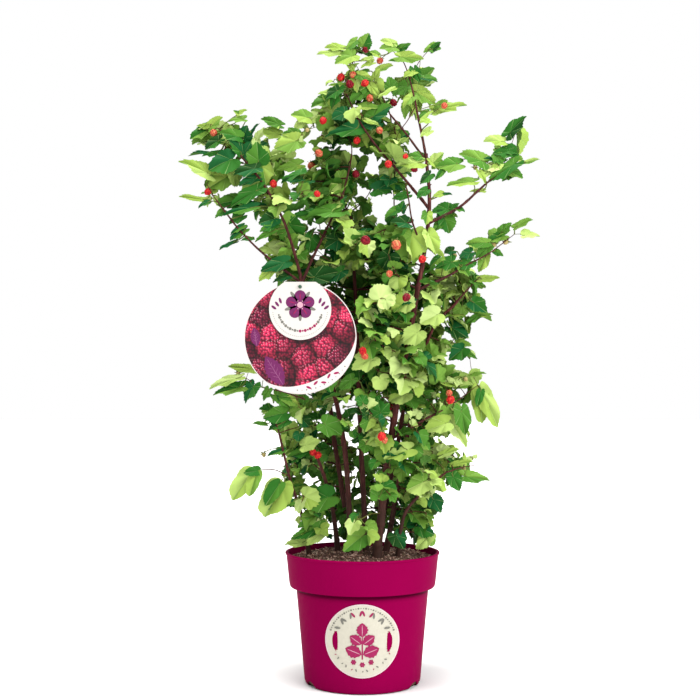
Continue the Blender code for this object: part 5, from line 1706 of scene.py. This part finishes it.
def hang(middle, axis, size):
    """The stalk from the nearest twig to a berry."""
    end = middle - unit(np.asarray(axis, float)) * size * 0.5
    near = np.linalg.norm(node_at - end, axis=1)
    n = int(near.argmin())
    path_end = end
    start = node_at[n]
    mid = (start + path_end) / 2 - unit(np.asarray(axis, float)) * min(0.012, near[n] * 0.4)
    t = np.linspace(0, 1, 6)[:, None]
    path = (1 - t) ** 2 * start + 2 * t * (1 - t) * mid + t ** 2 * path_end
    pts, faces = tube(path, 0.00066, 5)
    stalk_pile.add(pts, faces, 0)


# across, down in the front view, size in mm, and r ripe, d dark, o unripe, b bud
BERRIES = [
    (366, 50, 14, "d"), (380, 62, 13, "o"), (341, 78, 15, "r"), (350, 84, 15, "d"), (353, 75, 13, "o"), (365, 83, 14, "r"),
    (370, 98, 13, "o"), (394, 104, 14, "d"), (445, 105, 12, "o"), (323, 121, 14, "r"), (307, 129, 9, "b"), (380, 130, 13, "o"),
    (357, 141, 14, "r"), (213, 133, 14, "o"), (319, 154, 15, "o"), (389, 162, 14, "r"), (406, 154, 10, "r"), (415, 168, 13, "d"),
    (457, 166, 12, "o"), (476, 168, 9, "b"), (356, 175, 14, "d"), (273, 183, 14, "r"), (317, 192, 12, "r"), (207, 192, 13, "r"),
    (366, 238, 17, "d"), (397, 243, 18, "o"), (423, 258, 14, "r"), (390, 272, 12, "o"), (407, 296, 15, "d"), (363, 350, 14, "r"),
    (365, 355, 13, "o"), (450, 393, 12, "o"), (451, 400, 15, "r"), (382, 436, 15, "r"), (385, 440, 12, "o"), (313, 453, 13, "r"),
    (318, 456, 13, "r"), (238, 375, 9, "b"), (264, 456, 9, "b"), (466, 380, 9, "b"), (464, 470, 9, "b"), (494, 246, 11, "b"),
    (506, 243, 11, "b"), (455, 257, 9, "b"),
]
ROW = {"r": 0, "d": 1, "o": 2}
mid_uv = in_view(leaf_mid)
for u, v, size, kind in BERRIES:
    close = np.hypot(mid_uv[:, 0] - u, mid_uv[:, 1] - v) < 15
    depth = float(leaf_mid[close][:, 1].min()) if close.any() else -0.03
    depth = depth * 1000 - 12
    if math.hypot((u - 299.7), (v - 336.4)) < 66:
        depth = min(depth, -105)
    depth = max(depth, -134)
    middle = seen(u, v, depth)
    axis = unit(np.array((rng.normal(0, 0.5), -0.55, rng.choice([-0.8, -0.6, 0.5]))))
    if kind == "b":
        bud(middle, axis, size / 1000 * 0.8)
        hang(middle, axis, size / 1000 * 0.8)
    else:
        berry(middle, axis, size / 1000 * 0.73, ROW[kind])
        hang(middle, axis, size / 1000 * 0.73)

# berries out of sight at the sides and back
tips = [n for n in range(roots, len(node_at)) if main_child[n] < 0 and load[n] > 0 and node_at[n][1] > 0.03 and abs(node_at[n][0] - 0.01) < 0.10 and 0.36 < node_at[n][2] < 0.84]
rng.shuffle(tips)
for n in tips[:34]:
    axis = unit(np.array((rng.normal(0, 0.5), rng.normal(0, 0.5), -0.9)))
    out = unit(np.array((node_at[n][0], node_at[n][1], 0.0)))
    middle = node_at[n] + out * 0.016 + np.array((0, 0, -0.004))
    kind = rng.choice(["r", "r", "d", "o", "b"])
    if kind == "b":
        bud(middle, axis, 0.0075)
        hang(middle, axis, 0.0075)
    else:
        berry(middle, axis, rng.uniform(0.0105, 0.0130), ROW[kind])
        hang(middle, axis, 0.0115)

# ================================================================ the crown's pieces
canes = limb_pile.build("canes_bark", [bark], angle=75)
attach(canes, "root")
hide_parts(*CANES)
boughs = bough_pile.build("boughs_bark", [bark_young], angle=75)
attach(boughs, "root")
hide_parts(*BOUGHS)
twigs = twig_pile.build("twigs", [twig_red, twig_red, twig_green], angle=75)
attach(twigs, "root")
stalks = stalk_pile.build("leaf_stalks", [petiole, petiole_red], angle=75)
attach(stalks, "root")
fruit_piece = berry_pile.build("berries", BERRY_MATERIALS, angle=60)
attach(fruit_piece, "root")
for k, word in enumerate(PIECES):
    made = leaf_piles[k].build("leaves_%s_sprays" % word, LEAF_MATERIALS, angle=48)
    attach(made, "root")
    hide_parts(*[name for j, name in enumerate(mass_names) if piece_of[j] == k])

# ================================================================ floor, light, camera
bm = bmesh.new()
for x, y in ((-9, -4), (9, -4), (9, 14), (-9, 14)):
    bm.verts.new((x, y, 0))
bm.faces.new(bm.verts)
mesh = bpy.data.meshes.new("floor")
bm.to_mesh(mesh)
bm.free()
floor = bpy.data.objects.new("floor", mesh)
bpy.context.collection.objects.link(floor)
mat, tree, p = shader_of("floor_white")
tree.links.new(ramp(tree, noise_node(tree, 1.5, 2), [(0.3, (0.66, 0.66, 0.66)), (0.7, (0.68, 0.68, 0.68))]), p.inputs["Base Color"])
p.inputs["Roughness"].default_value = 0.9
p.inputs["Specular IOR Level"].default_value = 0.1
mesh.materials.append(mat)

scene = bpy.context.scene
scene.view_settings.view_transform = "Standard"
world = bpy.data.worlds.new("studio")
scene.world = world
world.use_nodes = True
world.node_tree.nodes["Background"].inputs[0].default_value = (1, 1, 1, 1)
world.node_tree.nodes["Background"].inputs[1].default_value = 1.0

top = bpy.data.lights.new("top", "SUN")
top.energy = 5.6
top.angle = math.radians(30)
top.color = (1.0, 0.99, 0.96)
top_object = bpy.data.objects.new("top", top)
bpy.context.collection.objects.link(top_object)
top_object.rotation_euler = Vector((0.03, 0.05, -1.0)).to_track_quat("-Z", "Y").to_euler()

side = bpy.data.lights.new("side", "AREA")
side.energy = 88
side.size = 2.4
side_object = bpy.data.objects.new("side", side)
bpy.context.collection.objects.link(side_object)
side_object.location = (1.9, -1.9, 1.5)
side_object.rotation_euler = (Vector((0, 0, 0.5)) - side_object.location).to_track_quat("-Z", "Y").to_euler()

camera_data = bpy.data.cameras.new("view")
camera_data.lens = 63.342
camera_data.sensor_width = 36
camera_data.clip_start = 0.01
camera_data.clip_end = 50
camera = bpy.data.objects.new("view", camera_data)
bpy.context.collection.objects.link(camera)
camera.location = (0.0022380, -1.8486740, 0.4385498)
camera.rotation_euler = (math.radians(91.70016), 0, math.radians(0.641226))
scene.camera = camera
